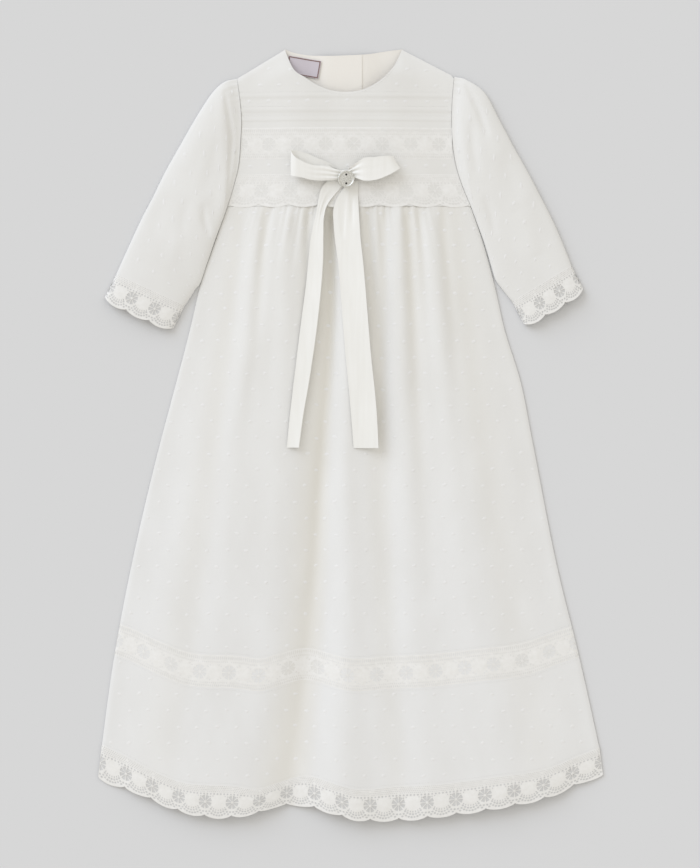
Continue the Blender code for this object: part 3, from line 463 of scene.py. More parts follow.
def wavy(wave, x, y):
    """Soft unevenness up to the wave's height either way, longer along y by its stretch."""
    draw = np.random.default_rng(wave.seed)
    total = np.zeros(np.broadcast(x, y).shape)
    waves, swing = 9, 1.6
    for _ in range(waves):
        turn, phase = draw.uniform(0.0, math.pi), draw.uniform(0.0, 2 * math.pi)
        size = wave.length * draw.uniform(0.6, 1.8)
        way = x * math.cos(turn) + y * math.sin(turn) / wave.stretch
        total += np.sin(2 * math.pi * way / size + phase)
    return wave.height * (total / waves * swing)


def crease_field(table, x, y):
    """Depth of short creases, each along its three points and fading at both ends."""
    total = np.zeros(np.broadcast(x, y).shape)
    for crease in table:
        points = np.array(crease[:6]).reshape(3, 2)
        best = np.full(total.shape, 1e9)
        share = np.zeros(total.shape)
        for number in (0, 1):
            start, way = points[number], points[number + 1] - points[number]
            t = np.clip(((x - start[0]) * way[0] + (y - start[1]) * way[1]) / (way @ way), 0.0, 1.0)
            away = np.hypot(x - start[0] - way[0] * t, y - start[1] - way[1] * t)
            closer = away < best
            best = np.where(closer, away, best)
            share = np.where(closer, (number + t) / 2, share)
        fade = np.sin(math.pi * np.clip(share, 0.0, 1.0)) ** 0.6
        total += crease.depth * np.exp(-((best / crease.width) ** 2)) * fade
    return total


def tuck_levels(edge):
    """Where a tuck's height changes: below and above its edge, near its seam and at its seam."""
    return edge - 0.25, edge + 0.15, edge + TUCK_DEPTH - 0.9, edge + TUCK_DEPTH


def tucks(y):
    """Height of the sewn tucks: flat bands that step down at their lower edges."""
    total = np.zeros(np.shape(y))
    for edge in TUCK_EDGES:
        total = total + np.interp(y, tuck_levels(edge), [0.0, TUCK_RAISE, 0.55 * TUCK_RAISE, 0.0])
    return total


def side_distance(x, y):
    """How far a point lies inside the side folds and the shoulder folds."""
    left, right = body_edges(y)
    sides = np.where(y < SEAM_Y, np.minimum(x - left, right - x), FAR_INSIDE)
    return np.maximum(np.minimum(sides, shoulder_line(x) - y), 0.0)


def front_surface(x, y):
    """Height of the front's outer face."""
    x, y = np.broadcast_arrays(np.asarray(x, float), np.asarray(y, float))
    left, right = body_edges(y)
    side = smooth_step(np.minimum(x - left, right - x) / SIDE_ROUND)
    shoulder = smooth_step((shoulder_line(x) - y) / SHOULDER_ROUND)
    rise = along(column(RISES, "y"), column(RISES, "height"), y)
    loose = SEAM_HOLD + (1 - SEAM_HOLD) * smooth_step((SEAM_Y - y) / SEAM_REACH)
    below = y < SEAM_Y
    gathered = np.where(below, FOLD_GAIN * fold_field(FOLDS, x, y, FOLD_SHIFT) * loose, 0.0)
    gathered -= np.where(below, gather_field(x, y, FRONT_GATHERS, FRONT_GATHER_SEED), 0.0)
    uneven = sum(wavy(wave, x, y) for wave in FRONT_WAVES)
    height = EDGE_TOP + (rise + gathered + uneven) * side * shoulder
    height -= (EDGE_TOP - SIDE_SEAM_TOP) * np.exp(-side_distance(x, y) / SIDE_SEAM_ROUND)
    return height + tucks(y)


def placket_slope(from_left):
    if from_left:
        return UNDERLAP_X - PLACKET_INSET, UNDERLAP_X - PLACKET_INSET - PLACKET_SLOPE
    return OVERLAP_X, OVERLAP_X + PLACKET_SLOPE


def placket_lift(x, from_left):
    """How far a back half rises over the buttons and over the other half."""
    near, far = placket_slope(from_left)
    height = PLACKET_LIFT + (PLACKET_PLY if from_left else 0.0)
    return height * smooth_step((np.asarray(x, float) - far) / (near - far))


def back_surface(x, y):
    """Height of the back's outer face, which looks down and lies on the ground."""
    x, y = np.broadcast_arrays(np.asarray(x, float), np.asarray(y, float))
    near = side_distance(x, y)
    inside = smooth_step((near - BACK_RIM) / BACK_ROUND)
    raised = fold_field(BACK_FOLDS, x, y) + gather_field(x, y, BACK_GATHERS, BACK_GATHER_SEED)
    raised += np.maximum(wavy(BACK_SKIRT_WAVE, x, y), 0.0)
    edge = (SIDE_SEAM_TOP - 2 * SHEET) * np.exp(-near / SIDE_SEAM_ROUND)
    uneven = np.maximum(wavy(BACK_YOKE_WAVE, x, y), 0.0)
    return BACK_CLEAR + edge + np.where(y < SEAM_Y, raised, uneven) * inside


# Meshes and pieces


def quads(rows, columns, wrap=False, flip=False):
    """Faces of a grid of points whose rows run down the sheet and columns to the right."""
    r = np.arange(rows - 1)[:, None] * columns
    c = np.arange(columns if wrap else columns - 1)[None, :]
    n = (c + 1) % columns
    corners = [r + c, r + columns + c, r + columns + n, r + n]
    made = np.stack(corners[::-1] if flip else corners, axis=-1)
    return made.reshape(-1, 4).tolist()


def apply_modifiers(made):
    bpy.context.view_layer.update()
    ready = made.evaluated_get(bpy.context.evaluated_depsgraph_get())
    mesh = bpy.data.meshes.new_from_object(ready)
    made.modifiers.clear()
    made.data = mesh
    return mesh


def thicken(made, wall, offset=-1.0):
    """Gives a sheet its thickness, keeps its rims crisp and all of it above the ground."""
    shell = made.modifiers.new("thickness", "SOLIDIFY")
    shell.thickness = wall * MM
    shell.offset = offset
    mesh = apply_modifiers(made)
    places = np.empty(3 * len(mesh.vertices), np.float32)
    mesh.vertices.foreach_get("co", places)
    places[2::3] = np.maximum(places[2::3], 0.0)
    mesh.vertices.foreach_set("co", places)
    mesh.set_sharp_from_angle(angle=math.radians(RIM_ANGLE))
    mesh.update()


def add_mesh(name, points, faces, material, wall=None, offset=-1.0, trough_shade_share=None):
    """A smooth mesh object from points in millimetres, thickened behind its faces by the wall."""
    mesh = bpy.data.meshes.new(name)
    mesh.from_pydata((np.asarray(points, float).reshape(-1, 3) * MM).tolist(), [], faces)
    mesh.polygons.foreach_set("use_smooth", [True] * len(mesh.polygons))
    mesh.materials.append(material)
    made = bpy.data.objects.new(name, mesh)
    bpy.context.scene.collection.objects.link(made)
    # Painted shade for each point, which the cloth's material reads
    if trough_shade_share is not None:
        share = mesh.attributes.new("painted_trough_shade", "FLOAT", "POINT")
        share.data.foreach_set("value", np.asarray(trough_shade_share, np.float32).ravel())
    if wall:
        thicken(made, wall, offset)
    return made


def dress(made, slot, *nodes):
    """A finished piece: it moves with the gown and stands for CAD nodes, which it hides. The slot is not
    used.
    """
    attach(made, ROOT)
    if nodes:
        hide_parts(*nodes)
    return made


def triangulate(outline, lines=(), extra=()):
    """Points and triangles inside an outline, with the given polylines kept as edges."""
    points = [Vector(p) for p in outline]
    edges = []
    for line in lines:
        start = len(points)
        points += [Vector(p) for p in line]
        edges += [(i, i + 1) for i in range(start, len(points) - 1)]
    points += [Vector(p) for p in extra]
    face = [list(range(len(outline)))]
    plan, _, faces, _, _, _ = geometry.delaunay_2d_cdt(points, edges, face, 1, 1e-4)
    plan = np.array([tuple(p) for p in plan])
    a, b, c = (plan[[face[k] for face in faces]] for k in range(3))
    area = (b - a)[:, 0] * (c - a)[:, 1] - (b - a)[:, 1] * (c - a)[:, 0]
    turned = [tuple(face) if up > 0 else tuple(face[::-1]) for face, up in zip(faces, area)]
    return plan, turned


# Materials


def shader_material(name, colour, roughness, metallic=0.0):
    made = bpy.data.materials.new(name)
    made.use_nodes = True
    nodes = made.node_tree.nodes
    shader = nodes["Principled BSDF"]
    shader.inputs["Base Color"].default_value = (*colour, 1.0)
    shader.inputs["Roughness"].default_value = roughness
    shader.inputs["Metallic"].default_value = metallic
    return made, made.node_tree, shader


def texture(tree, kind, scale, stretch=(1.0, 1.0, 1.0), **settings):
    """A procedural texture in the gown's own coordinates."""
    place = tree.nodes.new("ShaderNodeTexCoord")
    mapping = tree.nodes.new("ShaderNodeMapping")
    mapping.inputs["Scale"].default_value = stretch
    made = tree.nodes.new(kind)
    for key, value in settings.items():
        if key in made.inputs:
            made.inputs[key].default_value = value
        else:
            setattr(made, key, value)
    made.inputs["Scale"].default_value = scale
    tree.links.new(place.outputs["Object"], mapping.inputs["Vector"])
    tree.links.new(mapping.outputs["Vector"], made.inputs["Vector"])
    return made


def maths(tree, operation, a, b):
    made = tree.nodes.new("ShaderNodeMath")
    made.operation = operation
    for socket, value in zip(made.inputs, (a, b)):
        if isinstance(value, (int, float)):
            socket.default_value = value
        else:
            tree.links.new(value, socket)
    return made.outputs[0]


def tint(tree, shader, factor, dark, light, low=0.3, high=0.7):
    """Base colour between two colours by a factor."""
    ramp = tree.nodes.new("ShaderNodeValToRGB")
    ramp.color_ramp.elements[0].position = low
    ramp.color_ramp.elements[0].color = (*dark, 1.0)
    ramp.color_ramp.elements[1].position = high
    ramp.color_ramp.elements[1].color = (*light, 1.0)
    tree.links.new(factor, ramp.inputs["Fac"])
    tree.links.new(ramp.outputs["Color"], shader.inputs["Base Color"])


def warmed(tree, shader, factor, tone):
    """Multiplies the base colour by a tone where the factor is high."""
    colour = shader.inputs["Base Color"]
    mix = tree.nodes.new("ShaderNodeMix")
    mix.data_type, mix.blend_type = "RGBA", "MULTIPLY"
    ends = {end.identifier: end for end in (*mix.inputs, *mix.outputs)}
    tree.links.new(factor, ends["Factor_Float"])
    tree.links.new(colour.links[0].from_socket, ends["A_Color"])
    ends["B_Color"].default_value = (*tone, 1.0)
    tree.links.new(ends["Result_Color"], colour)


def bump(tree, shader, height, distance, strength):
    made = tree.nodes.new("ShaderNodeBump")
    made.inputs["Distance"].default_value = distance * MM
    made.inputs["Strength"].default_value = strength
    tree.links.new(height, made.inputs["Height"])
    tree.links.new(made.outputs["Normal"], shader.inputs["Normal"])


def weave_height(tree, thread):
    """Warp and weft of a plain weave with uneven threads, one thread wide in millimetres."""
    scale = band_scale(2 * thread)
    warp = texture(tree, "ShaderNodeTexWave", scale, bands_direction="X", Distortion=1.2)
    weft = texture(tree, "ShaderNodeTexWave", scale, bands_direction="Y", Distortion=1.2)
    slub = texture(tree, "ShaderNodeTexNoise", 900.0, (1.0, 0.12, 1.0), Detail=2.0)
    woven = maths(tree, "MAXIMUM", warp.outputs["Fac"], weft.outputs["Fac"])
    return maths(tree, "ADD", woven, slub.outputs["Fac"])


def cloth_material(name, dark, light):
    made, tree, shader = shader_material(name, light, 0.9)
    shader.inputs["Sheen Weight"].default_value = 0.08
    shader.inputs["Sheen Roughness"].default_value = 0.5
    cloud = texture(tree, "ShaderNodeTexNoise", 28.0, (1.0, 0.5, 1.0), Detail=3.0)
    tint(tree, shader, cloud.outputs["Fac"], dark, light)
    # Painted shade: warmer and a little darker where a fold's trough is deep
    trough_shade_node = tree.nodes.new("ShaderNodeAttribute")
    trough_shade_node.attribute_name = "painted_trough_shade"
    warmed(tree, shader, trough_shade_node.outputs["Fac"], (0.985, 0.965, 0.915))
    near_yoke = tree.nodes.new("ShaderNodeTexGradient")
    near_yoke.gradient_type = "SPHERICAL"
    place, mapping = tree.nodes.new("ShaderNodeTexCoord"), tree.nodes.new("ShaderNodeMapping")
    mapping.inputs["Location"].default_value = (0.0, -WARM_Y * MM / WARM_SPREAD, 0.0)
    mapping.inputs["Scale"].default_value = (1 / WARM_SPREAD,) * 3
    tree.links.new(place.outputs["Object"], mapping.inputs["Vector"])
    tree.links.new(mapping.outputs["Vector"], near_yoke.inputs["Vector"])
    warmed(tree, shader, near_yoke.outputs["Fac"], (1.0, 0.992, 0.968))
    bump(tree, shader, weave_height(tree, 0.42), 0.06, 0.35)
    return made


def lace_material(name, dark, light):
    made, tree, shader = shader_material(name, light, 0.85)
    shader.inputs["Sheen Weight"].default_value = 0.1
    shader.inputs["Sheen Roughness"].default_value = 0.5
    thread = texture(tree, "ShaderNodeTexVoronoi", 1900.0, Randomness=0.9)
    cloud = texture(tree, "ShaderNodeTexNoise", 240.0, Detail=3.0)
    tint(tree, shader, cloud.outputs["Fac"], dark, light)
    bump(tree, shader, thread.outputs["Distance"], 0.12, 0.6)
    return made


def ribbon_material():
    made, tree, shader = shader_material("satin_ribbon", (0.86, 0.845, 0.80), 0.42)
    shader.inputs["Sheen Weight"].default_value = 0.12
    shader.inputs["Sheen Roughness"].default_value = 0.35
    rib = texture(tree, "ShaderNodeTexWave", band_scale(0.55), bands_direction="Y")
    silk = texture(tree, "ShaderNodeTexNoise", 60.0, (4.0, 0.4, 1.0), Detail=4.0)
    tint(tree, shader, silk.outputs["Fac"], (0.828, 0.815, 0.772), (0.86, 0.85, 0.812))
    bump(tree, shader, rib.outputs["Fac"], 0.03, 0.3)
    return made


def grained_material(name, colour, finish, grain, dark, light, relief=None, span=(0.3, 0.7)):
    """A material whose colour, and relief if it has any, follow one procedural texture."""
    made, tree, shader = shader_material(name, colour, *finish)
    kind, scale, stretch, settings = grain
    height = texture(tree, kind, scale, stretch, **settings).outputs["Fac"]
    tint(tree, shader, height, dark, light, *span)
    if relief:
        bump(tree, shader, height, *relief)
    return made, shader


def noise(scale, detail, stretch=(1.0, 1.0, 1.0), **settings):
    return "ShaderNodeTexNoise", scale, stretch, {"Detail": detail, **settings}


def bands(scale, direction):
    return "ShaderNodeTexWave", scale, (1.0, 1.0, 1.0), {"bands_direction": direction}


def band_scale(width):
    """Scale of a wave texture whose bands are this wide, in millimetres."""
    return 2 * math.pi / (20.0 * width * MM)


LABEL_RIB = bands(band_scale(0.5), "Y")
CLOTH = cloth_material("plumetis_cloth", (0.768, 0.761, 0.742), (0.798, 0.794, 0.78))
# Painted light: a lighter copy of the cloth for the backs, brightening the inside seen through the neck
BACK_CLOTH_PAINTED_LIGHT = cloth_material("plumetis_back_cloth_painted_light", (0.832, 0.803, 0.76), (0.862, 0.836, 0.792))
TUFT, _ = grained_material(
    "plumetis_tuft", (0.825, 0.816, 0.797), (0.9,), noise(2200.0, 2.0, (0.25, 1.0, 1.0)),
    (0.79, 0.781, 0.76), (0.82, 0.813, 0.797), (0.08, 0.5),
)
LACE = lace_material("cotton_lace", (0.80, 0.786, 0.752), (0.845, 0.833, 0.805))
# The net is real, but it is darker than the lace as painted shade for what shows through the lace's
# holes
NET_WITH_PAINTED_SHADE = lace_material("lace_net_with_painted_shade", (0.63, 0.625, 0.61), (0.69, 0.685, 0.67))
RIBBON = ribbon_material()
THREAD, _ = grained_material(
    "sewing_thread", (0.84, 0.83, 0.79), (0.6,), bands(1100.0, "DIAGONAL"),
    (0.80, 0.79, 0.75), (0.87, 0.86, 0.83), (0.05, 0.5),
)
METAL, _ = grained_material(
    "aged_silver", (0.62, 0.61, 0.57), (0.46, 1.0), noise(900.0, 5.0),
    (0.54, 0.53, 0.49), (0.78, 0.77, 0.72), (0.08, 0.35), (0.35, 0.65),
)
# Painted shade: near-black discs at the bottom of the button's holes stand in for the shade down them
BUTTON_HOLE_SHADE, _ = grained_material(
    "button_hole_painted_shade", (0.03, 0.028, 0.025), (0.7, 0.4), noise(1500.0, 4.0),
    (0.02, 0.018, 0.016), (0.06, 0.055, 0.05), (0.1, 0.5),
)
LABEL, _ = grained_material(
    "woven_label", (0.66, 0.61, 0.65), (0.7,), LABEL_RIB,
    (0.55, 0.50, 0.54), (0.66, 0.61, 0.65), (0.06, 0.5), (0.1, 0.9),
)
LABEL_EDGE, _ = grained_material(
    "label_edge", (0.26, 0.16, 0.14), (0.7,), LABEL_RIB,
    (0.16, 0.09, 0.08), (0.26, 0.16, 0.14), (0.06, 0.5), (0.1, 0.9),
)
PEARL, pearl_shader = grained_material(
    "pearl_button", (0.86, 0.84, 0.79), (0.22,), noise(420.0, 4.0, Distortion=1.5),
    (0.80, 0.77, 0.71), (0.90, 0.89, 0.86),
)
pearl_shader.inputs["Coat Weight"].default_value = 0.4


# Cloth of the skirt


def skirt_sheet(name, node, tops, bottoms, columns, rows, front, ease=1.0, lift=0.0):
    """A cloth panel of the skirt between two shares of its length."""
    u = np.linspace(0.0, 1.0, columns + 1)[None, :]
    share = np.linspace(0.0, 1.0, rows + 1)[:, None] ** ease
    x, y = skirt_point(u, tops + (bottoms - tops) * share)
    z = (front_surface(x, y) if front else back_surface(x, y)) + lift
    points = np.stack([x, y, z], axis=-1)
    # Painted shade: how deep each point of the front lies in a fold's trough
    trough_shade_share = np.clip(-fold_field(FOLDS, x, y, 0.2) / TROUGH_SHADE_DEPTH, 0.0, 1.0) if front else np.zeros_like(z)
    faces = quads(rows + 1, columns + 1, flip=not front)
    made = add_mesh(name, points, faces, CLOTH, SHEET, trough_shade_share=trough_shade_share)
    return dress(made, "cloth", *([node] if node else []))


def make_skirt():
    """Upper part, backing of the lace band and hem part of the cloth, in front and behind."""
    top, bottom = BAND_TOP, BAND_BOTTOM
    for side in ("front", "back"):
        front = side == "front"
        columns, rows, band_rows, hem_rows, lift = SKIRT[side]
        upper, band, hem = (f"skirt_{part}{side}_cloth" for part in ("", "band_", "hem_"))
        skirt_sheet(upper, f"skirt_{side}", 0.0, top, columns, rows, front, SKIRT_EASE)
        skirt_sheet(band, None, top - BAND_LAP, bottom + BAND_LAP, columns, band_rows, front, lift=lift)
        skirt_sheet(hem, f"skirt_hem_{side}", bottom, 1.0, columns, hem_rows, front)


# Lace


def shape(x, y, wide, high, sides, turn=0.0):
    """Corners of a small hole."""
    angles = turn + 2 * math.pi * np.arange(sides) / sides
    return [(x + wide * math.cos(a), y + high * math.sin(a)) for a in angles]


def wheel_holes(y, side):
    """Half of an eight-holed wheel whose hub lies on the border of the repeat."""
    found = []
    x = 0.0 if side > 0 else PITCH
    for k in range(4):
        angle = math.radians(-67.5 + 45.0 * k)
        corners = [
            (WHEEL_HUB, -0.22), (WHEEL_HUB, 0.22), (WHEEL_WAIST * WHEEL_RADIUS, 0.31),
            (WHEEL_RADIUS, 0.27), (WHEEL_RADIUS, -0.27), (WHEEL_WAIST * WHEEL_RADIUS, -0.31),
        ]
        found.append(
            [(x + side * r * math.cos(angle + a), y + r * math.sin(angle + a)) for r, a in corners]
        )
    return found


def slot(x, y, angle, length, width):
    """Corners of a long small hole that points along an angle."""
    corners = [(-1.0, 0.0), (-0.5, 1.0), (0.6, 1.0), (1.0, 0.0), (0.6, -1.0), (-0.5, -1.0)]
    c, s = math.cos(angle), math.sin(angle)
    ends = [(a * length, b * width) for a, b in corners]
    return [(x + a * c - b * s, y + a * s + b * c) for a, b in ends]


def sun_ring(y, count, skip):
    """Small holes round a sun, except where the test skips them."""
    found = []
    for k in range(count):
        angle = 2 * math.pi * (k + 0.5) / count
        if not skip(angle):
            x = PITCH / 2 + (SUN_WIDE + RING_GAP) * math.cos(angle)
            found.append(slot(x, y + (SUN_HIGH + RING_GAP) * math.sin(angle), angle, *RING_SLOT))
    return found


def row_holes(y, count, wide, high, sides, turn=0.0, staggered=False):
    step = PITCH / count
    places = [(k + (1.0 if staggered else 0.5)) * step for k in range(count - staggered)]
    return [shape(x, y, wide, high, sides, turn) for x in places]


def scallop_edge(x):
    """Lower edge of the edging: a round lobe for each repeat, with fine picots."""
    lobe = np.abs(np.sin(math.pi * np.asarray(x) / PITCH)) ** 0.6
    return EDGING_HEIGHT - SCALLOP * (1 - lobe)


def sunk_edge(height, away):
    """The height, sunk where the lace is sewn down at a straight edge."""
    return height - EDGE_SINK * np.exp(-((away / 0.7) ** 2))


def relief(x, y, sun_y, edge):
    """Height of the padded sun, the wheels' rims and the edges over the ground of the lace."""
    across, down = (x - PITCH / 2) / SUN_WIDE, (y - sun_y) / SUN_HIGH
    away = np.hypot(across, down)
    rays = 1 - RAY_DEPTH * np.cos(SUN_RAYS * np.arctan2(down, across)) ** 2 * np.clip(away, 0, 1)
    height = SUN_RAISE * np.clip(1 - away ** 2, 0, 1) ** 0.8 * rays
    from_wheel = np.minimum(np.hypot(x, y - sun_y), np.hypot(x - PITCH, y - sun_y))
    height += WHEEL_RIM * np.exp(-((from_wheel - WHEEL_RADIUS - 0.5) / 0.6) ** 2)
    height += WHEEL_MIDDLE * np.exp(-(from_wheel / 1.2) ** 2)
    return sunk_edge(height, y) + EDGE_RIM * np.exp(-((edge - y) / 1.1) ** 2)


def anticlockwise(corners):
    ring = np.array(corners)
    x, y = ring[:, 0], ring[:, 1]
    area = np.sum(x * np.roll(y, -1) - y * np.roll(x, -1))
    return list(corners) if area > 0 else list(corners)[::-1]


def lace_repeat(outline, holes, inner, sun_y, edge):
    """Points, heights and triangles of one repeat, its holes left open."""
    points, faces = [], []
    for ring in [outline, *holes]:
        faces.append(list(range(len(points), len(points) + len(ring))))
        points += [Vector(p) for p in anticlockwise(ring)]
    points += [Vector(p) for p in inner]
    plan, _, made, _, _, origin = geometry.delaunay_2d_cdt(points, [], faces, 1, 1e-5)
    plan = np.array([tuple(p) for p in plan])
    kept = [tuple(face) for face, source in zip(made, origin) if list(source) == [0]]
    return plan, relief(plan[:, 0], plan[:, 1], sun_y, edge(plan[:, 0])), kept


def sun_points(x, y):
    return [(x, y)] + [
        p for share, count in SUN_RINGS for p in shape(x, y, share * SUN_WIDE, share * SUN_HIGH, count)
    ]


def edging_repeat():
    """The scalloped lace: a header net, suns and wheels, and a fan net down to its lobes."""
    sun_y, middle = EDGING_SUN_Y, PITCH / 2
    xs = np.linspace(0.0, PITCH, 41)
    picot = PICOT * np.abs(np.sin(math.pi * xs / PICOT_STEP + math.pi / 2))
    lower = list(zip(xs, scallop_edge(xs) + picot))
    down = [(0.0, y) for y in np.linspace(0.0, lower[0][1], 12)[:-1]]
    up = [(PITCH, y) for y in np.linspace(lower[-1][1], 0.0, 12)[1:]]
    across = [(x, 0.0) for x in np.linspace(PITCH, 0.0, 17)[1:-1]]
    outline = down + lower + up + across
    holes = []
    for row in range(HEADER_ROWS):
        y = HEADER_TOP + HEADER_STEP * row
        holes += row_holes(y, HEADER_HOLES, 0.56, 0.52, 4, staggered=row % 2 == 1)
    holes += row_holes(DOTS_Y, DOTS, 1.05, 0.95, 6, math.pi / 6)
    holes += sun_ring(sun_y, 22, lambda a: math.sin(a) < 0.25 or abs(math.cos(a)) > 0.8)
    for across, down in ((6.3, -5.9), (9.0, -5.3)):
        holes += [shape(middle + side * across, sun_y + down, 0.62, 0.62, 6) for side in (-1, 1)]
    holes += wheel_holes(sun_y, 1) + wheel_holes(sun_y, -1)
    for ring, radius in enumerate(FAN_RADII):
        step = FAN_STEP / radius
        for k in range(-10, 10):
            angle = math.pi / 2 + (k + 0.5 * (ring % 2)) * step
            x, y = middle + radius * math.cos(angle), sun_y + radius * math.sin(angle)
            room = 1.2 < x < PITCH - 1.2 and y > sun_y + 2.0 and y < scallop_edge(x) - 2.2
            wheel = min(math.hypot(x, y - sun_y), math.hypot(x - PITCH, y - sun_y))
            if room and wheel > WHEEL_RADIUS + 1.7:
                holes.append(shape(x, y, FAN_WIDE, FAN_HIGH, 6, angle))
    plan = lace_repeat(outline, holes, sun_points(middle, sun_y), sun_y, scallop_edge)
    return (*plan, EDGING_HEIGHT)


def band_repeat():
    """The straight insertion: ladders of bars along both edges, suns and wheels between them."""
    sun_y, middle = BAND_SUN_Y, PITCH / 2
    down = [(0.0, y) for y in np.linspace(0.0, BAND_HEIGHT, 12)[:-1]]
    lower = [(x, BAND_HEIGHT) for x in np.linspace(0.0, PITCH, 17)[:-1]]
    up = [(PITCH, y) for y in np.linspace(BAND_HEIGHT, 0.0, 12)[:-1]]
    across = [(x, 0.0) for x in np.linspace(PITCH, 0.0, 17)[:-1]]
    holes = []
    for y, high, staggered in LADDERS:
        holes += row_holes(y, LADDER_BARS, LADDER_WIDE, high, 4, staggered=staggered)
    holes += sun_ring(sun_y, 20, lambda a: abs(math.sin(a)) > 0.9 or abs(math.cos(a)) > 0.8)
    holes += wheel_holes(sun_y, 1) + wheel_holes(sun_y, -1)
    plan, height, faces = lace_repeat(
        down + lower + up + across, holes, sun_points(middle, sun_y), sun_y,
        lambda x: np.full(np.shape(x), 9e9),
    )
    return plan, sunk_edge(height, BAND_HEIGHT - plan[:, 1]), faces, BAND_HEIGHT


def net_repeat():
    """Ground of fine net behind the edging, sunk behind the wheels' holes."""
    t = np.linspace(0.0, 1.0, 17)[:, None]
    x = np.linspace(0.0, PITCH, 22)[None, :]
    y = t * (scallop_edge(x) - 0.8)
    plan = np.stack([np.broadcast_to(x, y.shape), y], axis=-1).reshape(-1, 2)
    down = plan[:, 1] - EDGING_SUN_Y
    wheel = np.minimum(np.hypot(plan[:, 0], down), np.hypot(plan[:, 0] - PITCH, down))
    depth = LACE_SHEET + NET_DEPTH + WHEEL_DEPTH * np.exp(-((wheel / (WHEEL_RADIUS + 0.5)) ** 6))
    return plan, -depth, [tuple(face) for face in quads(17, 22)], EDGING_HEIGHT


def lace_strip(name, repeat, count, place, up=True, cut_x=None, material=None, wall=LACE_SHEET):
    """Lace of so many repeats, laid by a place for each share along and down it."""
    plan, height, faces, tall = repeat
    points, triangles = [], []
    whole = math.ceil(count)
    for number in range(whole):
        start = len(plan) * number
        points.append(place((number + plan[:, 0] / PITCH) / count, plan[:, 1] / tall, height))
        triangles += [tuple(start + i for i in face) for face in faces]
    points = np.concatenate(points)
    a, b, c = (points[[face[k] for face in triangles]] for k in range(3))
    flipped = (np.cross(b - a, c - a)[:, 2].sum() > 0) != up
    if flipped:
        triangles = [face[::-1] for face in triangles]
    made = add_mesh(name, points, triangles, material or LACE)
    work = bmesh.new()
    work.from_mesh(made.data)
    if cut_x is not None:
        parts = list(work.verts) + list(work.edges) + list(work.faces)
        bmesh.ops.bisect_plane(
            work, geom=parts, plane_co=(cut_x * MM, 0, 0), plane_no=(1, 0, 0), clear_outer=True
        )
    bmesh.ops.remove_doubles(work, verts=work.verts, dist=0.02 * MM)
    work.to_mesh(made.data)
    work.free()
    made.data.polygons.foreach_set("use_smooth", [True] * len(made.data.polygons))
    thicken(made, wall)
    return made


def stack(x, y, z):
    return np.stack(np.broadcast_arrays(x, y, z), axis=-1)


